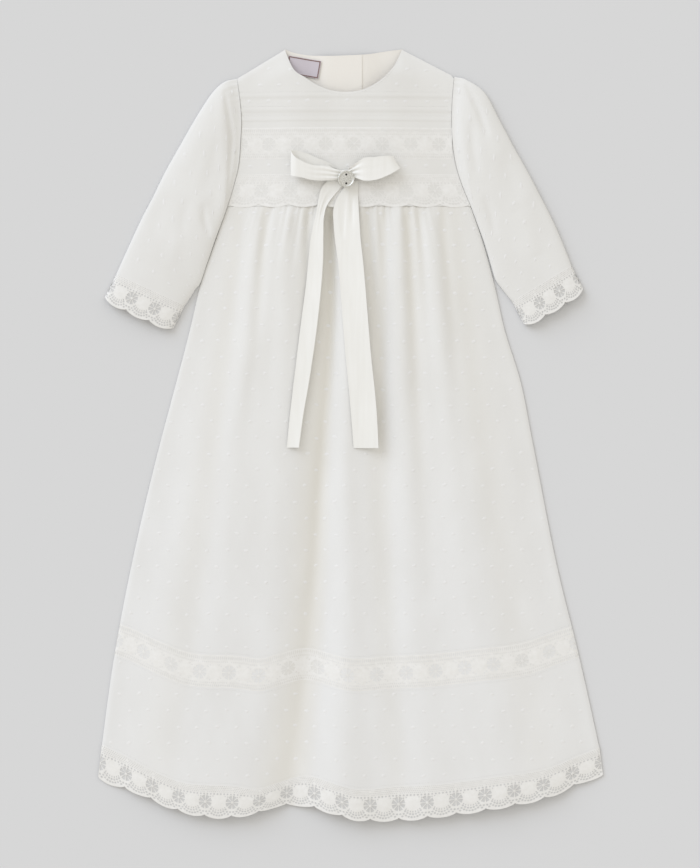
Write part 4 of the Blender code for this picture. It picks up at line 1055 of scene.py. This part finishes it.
def make_lace():
    edging, band, net = edging_repeat(), band_repeat(), net_repeat()
    edge_u = np.linspace(0.0, 1.0, SKIRT["front"].columns + 1)
    edge_x, edge_y = skirt_point(edge_u, 1.0)
    hem_repeats = round((edge_x[-1] - edge_x[0]) / PITCH)
    hem_z = front_surface(edge_x, edge_y)

    def hem_plan(s, t, short):
        x = edge_x[0] + (edge_x[-1] - edge_x[0]) * (s - HEM_PHASE * np.sin(math.pi * s))
        top = np.interp(x, edge_x, edge_y) + LACE_OVERLAP
        length = hem_lace(x) - short + LACE_OVERLAP
        return x * (1 + LACE_FLARE * t), top - length * t

    def front_hem(s, t, height):
        x, y = hem_plan(s, t, 0.0)
        z = np.interp(x / (1 + LACE_FLARE * t), edge_x, hem_z)
        wave = HEM_WAVE * np.sin(x / 9.0 + 1.5 * np.sin(x / 37.0)) * t
        return stack(x, y, np.maximum(z + 0.12 + wave - HEM_DROOP * t * t, HEM_LOWEST) + height)

    def back_hem(s, t, height):
        x, y = hem_plan(s, t, BACK_HEM_SHORT)
        return stack(x, y, BACK_HEM_LEVEL - 0.9 * height)

    made = lace_strip("hem_lace_front_edging", edging, hem_repeats, front_hem)
    dress(made, "lace", "hem_lace_front")
    dress(lace_strip("hem_lace_front_net", net, hem_repeats, front_hem, material=NET_WITH_PAINTED_SHADE), "lace")
    made = lace_strip("hem_lace_back_edging", edging, hem_repeats, back_hem, up=False)
    dress(made, "lace", "hem_lace_back")

    def yoke_edging(s, t, height):
        y = YOKE_LACE_TOP + (YOKE_LACE_BOTTOM - YOKE_LACE_TOP) * t
        left, right = body_edges(np.maximum(y, JUST_ABOVE))
        x = left + 0.3 + (right - left - 0.6) * s
        ground = np.maximum(front_surface(x, y), front_surface(x, np.full_like(y, SEAM_Y + 0.3)))
        z = np.where(y < SEAM_Y + 3.0, ground, front_surface(x, y))
        return stack(x, y, z + CLOTH_TO_LACE + LACE_ON_CLOTH + height)

    made = lace_strip("yoke_lace_edging", edging, YOKE_EDGING_REPEATS, yoke_edging, wall=LACE_ON_CLOTH)
    dress(made, "lace", "yoke_lace")

    def yoke_band(s, t, height):
        y = INSERTION_TOP + (INSERTION_BOTTOM - INSERTION_TOP) * t
        left, right = body_edges(y)
        x = left + 0.4 + (right - left) * s
        inside = np.minimum(x, right - 0.3)
        return stack(x, y, front_surface(inside, y) + CLOTH_TO_LACE + LACE_ON_CLOTH + height)

    right_edge = float(body_edges(0.5 * (INSERTION_TOP + INSERTION_BOTTOM))[1])
    made = lace_strip(
        "yoke_insertion_band", band, YOKE_BAND_REPEATS, yoke_band, cut_x=right_edge - 0.4,
        wall=LACE_ON_CLOTH,
    )
    dress(made, "lace", "yoke_insertion")

    def skirt_band(front):
        def place(s, t, height):
            x, y = skirt_point(s, BAND_TOP + (BAND_BOTTOM - BAND_TOP) * (t * 1.04 - 0.02))
            if front:
                return stack(x, y, front_surface(x, y) + 0.05 + 0.8 * height)
            return stack(x, y, back_surface(x, y) - 0.4 * np.clip(height, 0.0, 0.3))
        return place

    width = float(np.diff(skirt_point(np.array([0.0, 1.0]), 0.8)[0])[0])
    repeats = round(width / PITCH)
    made = lace_strip("skirt_band_front_lace", band, repeats, skirt_band(True), wall=LACE_ON_CLOTH)
    dress(made, "lace", "skirt_insertion_front")
    made = lace_strip("skirt_band_back_lace", band, repeats, skirt_band(False), up=False)
    dress(made, "lace", "skirt_insertion_back")

    for side, rings in SLEEVES.items():
        before, last = (np.array(ring_middle(ring)) for ring in (rings[-3], rings[-1]))
        way = (last - before) / np.linalg.norm(last - before)

        def cuff(under):
            def place(s, t, height):
                x, y, z = sleeve_point(side, 1.0, np.clip(s, 0.0, 1.0), under)
                whole = CUFF_LACE_LENGTH + LACE_OVERLAP
                length = (whole - CUFF_CORNER * (2 * s - 1) ** 4) * t - LACE_OVERLAP
                inner = 4 * s * (1 - s)
                z = z + (0.1 - 0.4 * height if under else 0.15 + height - 0.8 * t * inner)
                return stack(x + way[0] * length, y + way[1] * length, z)
            return place

        upper = lace_strip(f"cuff_lace_{side}_top", edging, CUFF_REPEATS, cuff(False))
        lower = lace_strip(f"cuff_lace_{side}_under", edging, CUFF_REPEATS, cuff(True), up=False)
        dress(upper, "lace", f"cuff_lace_{side}")
        behind = lace_strip(f"cuff_lace_{side}_net", net, CUFF_REPEATS, cuff(False), material=NET_WITH_PAINTED_SHADE)
        dress(behind, "lace")
        dress(lower, "lace", f"cuff_lace_{side}")


# Sleeves


def ring_middle(ring):
    return (ring.outer_x + ring.inner_x) / 2, (ring.outer_y + ring.inner_y) / 2


def armhole_bulge(side, y, first):
    share = (first.outer_y - y) / (first.outer_y - first.inner_y)
    straight = first.outer_x + (first.inner_x - first.outer_x) * share
    return along(column(ARMHOLES, "y"), column(ARMHOLES, side), y) - straight


def sleeve_point(side, r, s, under=False):
    """A point of a sleeve, r from armhole to cuff and s from its outer edge to its inner edge."""
    rings = SLEEVES[side]
    r, s = np.broadcast_arrays(np.asarray(r, float), np.asarray(s, float))
    number, at = np.arange(len(rings)), r * (len(rings) - 1)
    outer_x, outer_y, inner_x, inner_y, height = (
        along(number, column(rings, name), at) for name in Ring._fields
    )
    x, y = outer_x + (inner_x - outer_x) * s, outer_y + (inner_y - outer_y) * s
    first = rings[0]
    first_y = first.outer_y + (first.inner_y - first.outer_y) * s
    away = -1 if side == "left" else 1
    x = x + along(number, RING_BULGE, at) * armhole_bulge(side, first_y, first) + away * SLEEVE_GAP
    lift = 2 * np.sqrt(np.clip(s * (1 - s), 0.0, 1.0))
    head = SLEEVE_HEAD + (1 - SLEEVE_HEAD) * smooth_step(at / 1.4)
    if under:
        return x, y, SLEEVE_EDGE * (1 - smooth_step(lift / UNDER_ROUND))
    soft = smooth_step(lift / SOFT_ROUND)
    fine = crease_field(SLEEVE_CREASES[side], x, y) + wavy(SLEEVE_WAVE, x, y)
    gathers = HEAD_GATHER * np.cos(s * 2 * math.pi * HEAD_GATHERS + 2.0 * np.sin(9 * s))
    gathers = gathers * np.exp(-((at - 0.25) / 0.8) ** 2)
    full = height * head * lift ** SLEEVE_FULLNESS
    return x, y, SLEEVE_EDGE + full + (fine * head + gathers * (1 - s)) * soft


def make_sleeves():
    angles = 2 * math.pi * np.arange(SLEEVE_AROUND)[None, :] / SLEEVE_AROUND
    s = 0.5 - 0.5 * np.cos(angles)
    r = np.linspace(0.0, 1.0, SLEEVE_ALONG + 1)[:, None] ** 1.15
    for side in SLEEVES:
        over, under = sleeve_point(side, r, s), sleeve_point(side, r, s, under=True)
        z = np.where(angles <= math.pi, over[2], under[2])
        points = stack(over[0], over[1], z)
        faces = quads(SLEEVE_ALONG + 1, SLEEVE_AROUND, wrap=True, flip=side == "right")
        made = add_mesh(f"sleeve_{side}_cloth", points, faces, CLOTH, SHEET)
        dress(made, "cloth", f"sleeve_{side}")


# Yoke


def yoke_outline(side, bottom):
    ys = np.linspace(bottom, YOKE_SIDE_TOP, 52)
    left, right = body_edges(np.maximum(ys, JUST_ABOVE))
    xs = np.linspace(NECK[0].x, NECK[-1].x, 60)
    steep = (xs - xs.mean()) / (xs[-1] - xs.mean())
    xs = xs.mean() + (xs[-1] - xs.mean()) * np.sin(steep * math.pi / 2)
    neckline = list(zip(xs, neck_y(xs, side)))
    shoulders = [
        [(x, float(shoulder_line(x))) for x in np.linspace(start, end, 20)[1:-1]]
        for start, end in ((left[-1], NECK[0].x), (NECK[-1].x, right[-1]))
    ]
    down = list(zip(right, ys))[::-1]
    base = [(x, bottom) for x in np.linspace(right[0], left[0], 90)[1:-1]]
    return down + base + list(zip(left, ys)) + shoulders[0] + neckline + shoulders[1]


def inside_points(outline, step, levels=(), margin=1.1):
    """A grid of points within an outline, off the given level lines."""
    ring = np.array(outline)
    xs = np.arange(ring[:, 0].min(), ring[:, 0].max(), step)
    ys = np.arange(ring[:, 1].min(), ring[:, 1].max(), step)
    x, y = (grid.ravel() for grid in np.meshgrid(xs, ys))
    keep = np.zeros(len(x), bool)
    near = np.full(len(x), 1e9)
    for a, b in zip(ring, np.roll(ring, -1, axis=0)):
        crosses = (a[1] > y) != (b[1] > y)
        with np.errstate(divide="ignore", invalid="ignore"):
            at = a[0] + (b[0] - a[0]) * (y - a[1]) / (b[1] - a[1])
        keep ^= crosses & (x < at)
        way = b - a
        t = np.clip(((x - a[0]) * way[0] + (y - a[1]) * way[1]) / max(way @ way, 1e-9), 0, 1)
        near = np.minimum(near, np.hypot(x - a[0] - way[0] * t, y - a[1] - way[1] * t))
    keep &= near > margin
    for level in levels:
        keep &= np.abs(y - level) > 0.5
    return list(zip(x[keep], y[keep]))


def tuck_lines():
    """Level lines at the tucks' steps, which the yoke's mesh keeps."""
    lines = []
    for edge in TUCK_EDGES:
        for y in tuck_levels(edge):
            left, right = (float(value) for value in body_edges(y))
            xs = np.arange(left + 0.8, right - 0.8, YOKE_STEP)
            out = neck_y(xs, "front") > y + 0.4
            out |= (xs < NECK[0].x) | (xs > NECK[-1].x)
            runs = np.split(np.arange(len(xs)), np.where(np.diff(out.astype(int)))[0] + 1)
            lines += [[(x, y) for x in xs[run]] for run in runs if out[run[0]] and len(run) > 1]
    return lines


def make_yoke():
    outline = yoke_outline("front", YOKE_LOW)
    lines = tuck_lines()
    levels = sorted({line[0][1] for line in lines})
    plan, faces = triangulate(outline, lines, inside_points(outline, YOKE_STEP, levels))
    z = front_surface(plan[:, 0], np.maximum(plan[:, 1], JUST_ABOVE))
    made = add_mesh("yoke_front_cloth", stack(plan[:, 0], plan[:, 1], z), faces, CLOTH, SHEET)
    dress(made, "cloth", "yoke_front")

    whole = yoke_outline("back", YOKE_LOW)
    for side, from_left in (("left", True), ("right", False)):
        sign, edge = (1, OVERLAP_X) if from_left else (-1, UNDERLAP_X)
        kept = [p for p in whole if sign * (edge - p[0]) > 0.8]
        start = max(range(len(kept)), key=lambda i: math.dist(kept[i - 1], kept[i]))
        half = kept[start:] + kept[:start]
        split = [(edge, y) for y in np.linspace(YOKE_LOW, float(neck_y(edge, "back")), 50)]
        half += split if half[-1][1] < SEAM_Y + 1.0 else split[::-1]
        plan, faces = triangulate(half, (), inside_points(half, BACK_YOKE_STEP))
        low = back_surface(plan[:, 0], np.maximum(plan[:, 1], JUST_ABOVE))
        low = low + placket_lift(plan[:, 0], from_left)
        flipped = [face[::-1] for face in faces]
        points = stack(plan[:, 0], plan[:, 1], low)
        made = add_mesh(f"yoke_back_{side}_cloth", points, flipped, BACK_CLOTH_PAINTED_LIGHT, SHEET)
        dress(made, "cloth", f"yoke_back_{side}")


# Tufts and sewing


def under_ribbon(x, y):
    """Whether a point of the skirt lies under a ribbon end."""
    for rows in (LEFT_TAIL, RIGHT_TAIL):
        ys = column(rows, "y")
        left, right = along(ys, column(rows, "left"), y), along(ys, column(rows, "right"), y)
        if min(ys) - 2.0 < y < max(ys) + 2.0 and left - 2.2 < x < right + 2.2:
            return True
    return False


def tuft_mesh(name, centres, place):
    """Woven tufts at the centres: small uneven domes on the cloth given by the place."""
    draw = np.random.default_rng(TUFT_SEED)
    sides = 8
    angles = 2 * math.pi * np.arange(sides) / sides
    points, faces = [], []
    for x, y in centres:
        wide, high = TUFT_WIDE * draw.uniform(*TUFT_SIZE), TUFT_HIGH * draw.uniform(*TUFT_SIZE)
        uneven = draw.uniform(*TUFT_UNEVEN, sides)
        turn = draw.uniform(*TUFT_TURN)
        a, b = np.cos(angles) * wide * uneven, np.sin(angles) * high * uneven
        across, up = a * math.cos(turn) - b * math.sin(turn), a * math.sin(turn) + b * math.cos(turn)
        dx, dy = (np.concatenate([way, TUFT_TOP * way, [0.0]]) for way in (across, up))
        raised = np.concatenate([np.full(sides, -0.2), np.full(sides, 0.8), [1.0]]) * TUFT_RAISE + 0.06
        start = len(points) * (2 * sides + 1)
        points.append(place(x, y, dx, dy, raised))
        for k in range(sides):
            n = (k + 1) % sides
            faces.append((start + k, start + n, start + sides + n, start + sides + k))
            faces.append((start + sides + k, start + sides + n, start + 2 * sides))
    made = add_mesh(name, np.concatenate(points), faces, TUFT)
    return dress(made, "cloth")


def tuft_centres(inside, box, seed):
    """Staggered rows of places within a box that pass the test."""
    draw = np.random.default_rng(seed)
    x0, x1, y0, y1 = box
    found = []
    for row, y in enumerate(np.arange(y1, y0, -TUFT_ROWS)):
        for x in np.arange(x0 + (row % 2) * TUFT_ACROSS / 2, x1, TUFT_ACROSS):
            px, py = x + draw.uniform(-1.4, 1.4), y + draw.uniform(-1.0, 1.0)
            if inside(px, py):
                found.append((px, py))
    return found


def skirt_fan(x, y):
    """Gathers draw the columns of tufts together towards the yoke seam."""
    share = smooth_step((SEAM_Y - y) / TUFT_REACH)
    return CENTRE_X + (x - CENTRE_X) * (TUFT_NARROW + (1 - TUFT_NARROW) * share)


def on_skirt(x, y, margin=TUFT_EDGE):
    left, right = (float(value) for value in body_edges(min(y, JUST_BELOW)))
    if not left + margin < x < right - margin:
        return False
    hem_x = HEM[0].x + (HEM[-1].x - HEM[0].x) * (x - left) / (right - left)
    v = (SEAM_Y - y) / (SEAM_Y - float(hem_cloth(hem_x)))
    off_band = not BAND_TOP - 0.008 < v < BAND_BOTTOM + 0.008
    return 0.012 < v < 0.988 and off_band


def make_tufts():
    box = (-330.0, 330.0, HEM_Y - 10.0, SEAM_Y - 7.0)

    def spread(keep, seed):
        centres = tuft_centres(lambda x, y: keep(float(skirt_fan(x, y)), y), box, seed)
        return [(float(skirt_fan(x, y)), y) for x, y in centres]

    def on_front(x, y, dx, dy, raised):
        return stack(x + dx, y + dy, front_surface(x + dx, y + dy) + raised)

    def on_back(x, y, dx, dy, raised):
        return stack(x + dx, y + dy, np.maximum(back_surface(x + dx, y + dy) - raised, 0.02))

    front = spread(lambda x, y: on_skirt(x, y) and not under_ribbon(x, y), SKIRT_FRONT_SEED)
    tuft_mesh("skirt_front_tufts", front, on_front)
    back = tuft_mesh("skirt_back_tufts", spread(on_skirt, SKIRT_BACK_SEED), on_back)
    back.data.flip_normals()

    yoke_box = (-112.0, 104.0, 262.0, 380.0)

    def on_yoke(x, y):
        left, right = (float(value) for value in body_edges(y))
        clear = left + 4.0 < x < right - 4.0 and y < shoulder_line(x) - 5.0
        clear = clear and not (NECK[0].x < x < NECK[-1].x and y > neck_y(x, "front") - 4.0)
        off_tucks = all(abs(y - edge - TUCK_DEPTH / 2) > TUCK_DEPTH / 2 + 1.2 for edge in TUCK_EDGES)
        return clear and off_tucks and not INSERTION_BOTTOM - 2.5 < y < INSERTION_TOP + 2.5

    tuft_mesh("yoke_front_tufts", tuft_centres(on_yoke, yoke_box, YOKE_SEED), on_front)

    for side, rings in SLEEVES.items():
        length = sum(math.dist(ring_middle(a), ring_middle(b)) for a, b in zip(rings, rings[1:]))
        centres = []
        for row in range(int(length / TUFT_ROWS)):
            r = (row + 0.6) * TUFT_ROWS / length
            x, y, _ = sleeve_point(side, r, np.array([0.0, 1.0]))
            width = math.hypot(x[1] - x[0], y[1] - y[0])
            count = int((width - 8.0) / TUFT_ACROSS + (row % 2) * 0.5)
            for k in range(count + 1):
                place = k - count / 2 + 0.25 - 0.5 * (row % 2)
                s = 0.5 + place * TUFT_ACROSS / width
                if TUFT_EDGE / width < s < 1 - TUFT_EDGE / width and r < 0.985:
                    centres.append((r, s))

        def on_sleeve(r, s, dx, dy, raised):
            x, y, z = sleeve_point(side, np.clip(r + dy / length, 0.0, 1.0), s + dx / 90.0)
            return stack(x, y, z + raised)

        made = tuft_mesh(f"sleeve_{side}_tufts", centres, on_sleeve)
        if side == "left":
            made.data.flip_normals()


STITCH_FACES = ((0, 1, 4), (1, 3, 4), (3, 2, 4), (2, 0, 4), (0, 2, 1), (1, 2, 3))


def stitches(name, lines, place, length=1.7, gap=0.9, width=0.32, height=0.28):
    """Rows of separate stitches along lines of points, each a small spindle of thread."""
    points, faces = [], []
    for line in lines:
        line = np.array(line, float)
        steps = np.linalg.norm(np.diff(line, axis=0), axis=1)
        run = np.concatenate([[0.0], np.cumsum(steps)])
        for start in np.arange(gap / 2, run[-1] - length, length + gap):
            ends = [
                np.array([np.interp(start + d, run, line[:, k]) for k in (0, 1)])
                for d in (0.0, length / 2, length)
            ]
            way = (ends[2] - ends[0]) / max(np.linalg.norm(ends[2] - ends[0]), 1e-6)
            side = np.array([-way[1], way[0]]) * width / 2
            plan = np.array([ends[0], ends[1] - side, ends[1] + side, ends[2]])
            x, y = np.append(plan[:, 0], ends[1][0]), np.append(plan[:, 1], ends[1][1])
            z = place(x, y) + np.array([-0.05, 0.05, 0.05, -0.05, height])
            base = len(points)
            points += stack(x, y, z).tolist()
            faces += [tuple(base + k for k in face) for face in STITCH_FACES]
    made = add_mesh(name, points, faces, THREAD)
    return dress(made, "cloth")


def make_sewing():
    lines = []
    for edge in TUCK_EDGES:
        y = edge + TUCK_DEPTH + 0.4
        left, right = (float(value) for value in body_edges(y))
        xs = np.arange(left + 1.0, right - 1.0, 1.0)
        clear = (xs < NECK[0].x) | (xs > NECK[-1].x) | (neck_y(xs, "front") > y + 1.5)
        runs = np.split(np.arange(len(xs)), np.where(np.diff(clear.astype(int)))[0] + 1)
        lines += [[(x, y) for x in xs[run]] for run in runs if clear[run[0]] and len(run) > 3]
    stitches("yoke_tuck_stitches", lines, front_surface)
    xs = np.linspace(NECK[0].x + 2.0, NECK[-1].x - 2.0, 160)
    neckline = [(x, float(neck_y(x, "front")) - 2.4) for x in xs]
    stitches("neck_stitches", [neckline], front_surface)
    u = np.linspace(0.003, 0.997, 260)
    shares = (BAND_TOP - STITCH_LINE, BAND_BOTTOM + STITCH_LINE, HEM_STITCH_LINE)
    rows = [list(zip(*skirt_point(u, v))) for v in shares]
    stitches("skirt_stitches", rows, front_surface, length=2.0, gap=1.1)


# Bow


def spline_rows(rows, count):
    """The rows of a table, spread evenly along its length by smooth curves."""
    table = np.array(rows, float)
    run = np.concatenate([[0.0], np.cumsum(np.linalg.norm(np.diff(table[:, :3], axis=0), axis=1))])
    at = np.linspace(0.0, run[-1], count)
    return np.stack([along(run, table[:, k], at) for k in range(table.shape[1])], axis=-1)


def make_loop(name, node, stations):
    """One loop of the bow: a strip round its stations, pleated where the knot gathers it."""
    count, across = LOOP_ALONG, LOOP_ACROSS
    rows = spline_rows(stations, count)
    places, width, slant = rows[:, :3], rows[:, 3], rows[:, 4]
    run = np.gradient(places, axis=0)
    side = np.stack([slant, -np.ones(count), np.zeros(count)], axis=-1)
    side /= np.linalg.norm(side, axis=1)[:, None]
    out = np.cross(side, run)
    out /= np.linalg.norm(out, axis=1)[:, None]
    w = np.linspace(-0.5, 0.5, across + 1)
    missing = np.clip(1 - width / RIBBON_WIDTH, 0.0, 1.0)
    near_knot = np.minimum(np.arange(count), np.arange(count)[::-1]) / count
    pleat = 1.6 * missing * np.exp(-((near_knot / PLEAT_REACH) ** 2))
    wave = np.cos(2 * math.pi * LOOP_PLEATS * w)[None, :] * pleat[:, None] * 0.8
    bow = 0.5 * np.cos(math.pi * w)[None, :] * np.ones(count)[:, None] * 0.6
    points = places[:, None, :] + side[:, None, :] * (w[None, :, None] * width[:, None, None])
    points = points + out[:, None, :] * (wave + bow)[:, :, None]
    made = add_mesh(name, points, quads(count, across + 1), RIBBON, RIBBON_SHEET, offset=0.0)
    return dress(made, "ribbon", node)


def rest_level(left, right, levels):
    """Height at which a flat ribbon lies on the highest cloth under each of its rows."""
    high = []
    for y, a, b in zip(levels, left, right):
        x = np.linspace(a - 3.0, b + 3.0, 14)
        best = max(float(front_surface(x, np.full_like(x, y + dy)).max()) for dy in (-4.0, 0.0, 4.0))
        over_lace = CLOTH_TO_LACE + LACE_SHEET + 0.3 if y > YOKE_LACE_BOTTOM - 3.0 else 0.25
        high.append(best + over_lace)
    high = np.array(high)
    kernel = np.hanning(9)
    smooth = np.convolve(np.pad(high, 4, mode="edge"), kernel / kernel.sum(), mode="valid")
    return np.maximum(smooth, high)


def make_tail(name, node, rows):
    """A ribbon end on the skirt, with the ply that is folded under it."""
    ys = np.array(column(rows, "y"))
    levels = np.linspace(ys[0], ys[-1], TAIL_ALONG)
    left, right, under = (along(ys, column(rows, key), levels) for key in ("left", "right", "under"))
    level = rest_level(left, right, levels)
    w = np.linspace(0.0, 1.0, TAIL_ACROSS)
    width = right - left
    flat_x = left[:, None] + width[:, None] * w
    missing = np.clip(1 - (width + under) / RIBBON_WIDTH, 0.0, 1.0)
    run = (ys[0] - levels) / (ys[0] - ys[-1])
    gathered = (missing * np.exp(-((run / 0.3) ** 2)))[:, None]
    pleats = 0.9 * gathered * np.sin(2 * math.pi * 1.5 * w + 0.5)[None, :] * np.sin(math.pi * w)[None, :]
    folded = under.max() > 1.0
    lift = FOLDED_LIFT if folded else 0.0
    uneven = TAIL_UNEVEN * np.sin(9.0 * run + 1.0)[:, None] * np.cos(math.pi * w)[None, :]
    tilt = TAIL_TILT[node] * smooth_step((run - 0.02) / 0.16)[:, None] * (w ** 1.5)[None, :]
    creased = crease_field(TAIL_CREASES[node], flat_x, np.broadcast_to(levels[:, None], flat_x.shape))
    pleats = np.maximum(np.abs(pleats) + tilt + creased, 0.0)
    upper = level[:, None] + lift + TAIL_CLEAR + pleats + uneven
    if folded:
        low = level[:, None] + PLY_CLEAR
        fold_x = right[:, None] + np.array([0.4, 0.6, 0.35])[None, :]
        fold_z = low + (upper[:, -1:] - low) * np.array([0.85, 0.5, 0.15])[None, :]
        back = np.linspace(0.0, 1.0, 6)
        below_x = right[:, None] - under[:, None] * back
        below_z = np.broadcast_to(low, below_x.shape)
        x, z = np.hstack([flat_x, fold_x, below_x]), np.hstack([upper, fold_z, below_z])
    else:
        x, z = flat_x, upper
    points = stack(x, levels[:, None], z)
    made = add_mesh(name, points, quads(len(levels), points.shape[1]), RIBBON, TAIL_SHEET)
    return dress(made, "ribbon", node)


def make_knot():
    """The pleated wrap over the middle of the bow."""
    w, l = np.linspace(-1.0, 1.0, 33)[None, :], np.linspace(-1.0, 1.0, 33)[:, None]
    crown = np.clip(1 - np.abs(l) ** 3.2, 0.0, 1.0) ** 0.6
    sides = 1 - 0.8 * np.abs(w) ** 5
    pleat = 0.3 * np.abs(np.sin(1.5 * math.pi * w + 0.4 * l)) - 0.3
    z = KNOT_BASE + (KNOT_TOP - KNOT_BASE + pleat) * crown * sides
    x = KNOT_X + KNOT_WIDTH / 2 * w * (1 - 0.3 * np.abs(l) ** 3)
    y = KNOT_Y - KNOT_LENGTH / 2 * l * (1 - 0.08 * w ** 2)
    made = add_mesh("bow_knot_wrap", stack(x, y, z), quads(33, 33), RIBBON, RIBBON_SHEET)
    return dress(made, "ribbon", "bow_knot")


def lathe(name, x, y, base, profile, material, segments=72, down=False):
    """A turned shape from pairs of radius and height, closed at both ends."""
    sign = -1 if down else 1
    angles = 2 * math.pi * np.arange(segments) / segments
    points = []
    for radius, height in profile:
        z = base + sign * height
        points += [(x + radius * math.cos(a), y + radius * math.sin(a), z) for a in angles]
    levels = len(profile)
    faces = [tuple(reversed(range(segments))), tuple(range((levels - 1) * segments, levels * segments))]
    for level in range(levels - 1):
        for k in range(segments):
            n, a = (k + 1) % segments, level * segments
            faces.append((a + k, a + n, a + n + segments, a + k + segments))
    if down:
        faces = [face[::-1] for face in faces]
    return add_mesh(name, points, faces, material)


def bore(made, holes, radius):
    """Cuts round holes down through a piece."""
    cutters = []
    for x, y in holes:
        bpy.ops.mesh.primitive_cylinder_add(vertices=20, radius=radius * MM, depth=12.0 * MM)
        cutter = bpy.context.object
        cutter.location = Vector((x, y, BUTTON_BASE + 1.0)) * MM
        cutters.append(cutter)
        cut = made.modifiers.new("hole", "BOOLEAN")
        cut.operation, cut.object = "DIFFERENCE", cutter
    apply_modifiers(made)
    for cutter in cutters:
        bpy.data.objects.remove(cutter, do_unlink=True)


# Radius and height of the buttons' turned outlines
METAL_PROFILE = (
    (6.8, 0.0), (8.1, 0.25), (8.5, 0.8), (8.5, 1.5), (8.3, 2.0), (7.9, 2.28), (7.4, 2.3), (7.0, 2.15),
    (6.7, 1.75), (6.3, 1.6), (5.0, 1.72), (2.5, 1.82), (0.6, 1.85),
)
HOLE_PROFILE = ((1.5, 0.0), (1.5, 0.5), (0.3, 0.55))
PEARL_PROFILE = (
    (3.6, 0.0), (4.6, 0.15), (5.0, 0.6), (4.85, 1.05), (4.3, 1.35), (3.6, 1.4), (3.1, 1.2), (2.6, 1.0),
    (0.5, 0.95),
)


def make_button():
    made = lathe("medallion_button_metal", BUTTON_X, BUTTON_Y, BUTTON_BASE, METAL_PROFILE, METAL)
    half = BUTTON_HOLE_SPACING / 2
    spots = [(BUTTON_X, BUTTON_Y + half), (BUTTON_X, BUTTON_Y - half)]
    bore(made, spots, BUTTON_HOLE_RADIUS)
    made.data.set_sharp_from_angle(angle=math.radians(38))
    dress(made, "button", "medallion_button")
    # Near-black discs seen down the holes: painted shade
    for number, (x, y) in enumerate(spots, 1):
        name = f"medallion_button_hole_{number}"
        dress(lathe(name, x, y, BUTTON_BASE + 0.1, HOLE_PROFILE, BUTTON_HOLE_SHADE, 20), "button")


def make_back_buttons():
    for number, y in enumerate(BACK_BUTTONS_Y, 1):
        name = f"back_button_{number}"
        made = lathe(
            f"{name}_pearl", CENTRE_X, y, BACK_BUTTON_TOP, PEARL_PROFILE, PEARL, 40, down=True
        )
        dress(made, "back_button", name)


def make_label():
    """A bare woven label with a thin border."""
    turn = math.radians(LABEL_TURN)

    def turned(a, b):
        x = LABEL_X + a * math.cos(turn) - b * math.sin(turn)
        y = LABEL_Y + a * math.sin(turn) + b * math.cos(turn)
        return x, y, placket_lift(x, True) + LABEL_BASE

    a = np.linspace(-LABEL_WIDTH / 2, LABEL_WIDTH / 2, 25)[None, :]
    b = np.linspace(LABEL_HEIGHT / 2, -LABEL_HEIGHT / 2, 13)[:, None]
    x, y, z = turned(a, b)
    made = add_mesh("neck_label_woven", stack(x, y, z + LABEL_RISE), quads(13, 25), LABEL, LABEL_SHEET)
    dress(made, "label", "neck_label")
    points, faces = [], []
    for inset in BORDER_INSETS:
        w, h = LABEL_WIDTH / 2 - inset, LABEL_HEIGHT / 2 - inset
        across, down = np.linspace(-w, w, 17)[:-1], np.linspace(h, -h, 9)[:-1]
        ring = [(s, h) for s in across] + [(w, t) for t in down]
        ring += [(-s, -h) for s in across] + [(-w, -t) for t in down]
        for a1, b1 in ring:
            x, y, z = turned(a1, b1)
            points.append((x, y, float(z) + BORDER_RISE))
    count = len(points) // 2
    for k in range(count):
        n = (k + 1) % count
        faces.append((k, count + k, count + n, n))
    made = add_mesh("neck_label_border", points, faces, LABEL_EDGE, BORDER_SHEET)
    dress(made, "label")


# Floor, lights and camera


def make_stage():
    bpy.ops.mesh.primitive_plane_add(size=FLOOR_SIZE, location=(0.0, 0.0, FLOOR_Z))
    floor = bpy.context.object
    floor.name = "floor"
    made, _, shader = shader_material("studio_floor", FLOOR_COLOUR, FLOOR_ROUGHNESS)
    shader.inputs["Specular IOR Level"].default_value = 0.0
    floor.data.materials.append(made)
    floor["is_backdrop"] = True

    world = bpy.data.worlds.new("studio")
    world.use_nodes = True
    back = world.node_tree.nodes["Background"]
    back.inputs["Color"].default_value = (*WORLD_COLOUR, 1.0)
    back.inputs["Strength"].default_value = WORLD_STRENGTH
    bpy.context.scene.world = world

    sun = bpy.data.lights.new("key", "SUN")
    sun.energy = KEY_STRENGTH
    sun.color = KEY_COLOUR
    sun.angle = math.radians(KEY_ANGLE)
    key = bpy.data.objects.new("key", sun)
    bpy.context.scene.collection.objects.link(key)
    key.rotation_mode = "QUATERNION"
    key.rotation_quaternion = Vector(KEY_TOWARDS).to_track_quat("-Z", "Y")

    view = bpy.context.scene.view_settings
    view.view_transform = "Standard"
    view.look = "None"
    view.exposure, view.gamma = 0.0, 1.0

    lens = bpy.data.cameras.new("camera")
    lens.sensor_width = SENSOR
    lens.lens = SENSOR / 2 / (PICTURE_HIGH / 2 / CAMERA_HEIGHT)
    lens.clip_end = 50.0
    camera = bpy.data.objects.new("camera", lens)
    camera.location = (CAMERA_X, 0.0, CAMERA_HEIGHT)
    bpy.context.scene.collection.objects.link(camera)
    bpy.context.scene.camera = camera


make_skirt()
make_lace()
make_yoke()
make_sleeves()
make_tufts()
make_sewing()
for shaped, node, table in (
    (make_loop, "bow_loop_left", LEFT_LOOP),
    (make_loop, "bow_loop_right", RIGHT_LOOP),
    (make_tail, "ribbon_tail_left", LEFT_TAIL),
    (make_tail, "ribbon_tail_right", RIGHT_TAIL),
):
    shaped(f"{node}_ribbon", node, table)
make_knot()
make_button()
make_back_buttons()
make_label()
make_stage()

[[list(corner) for corner in box] for box in (CAD_BOX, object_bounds())]
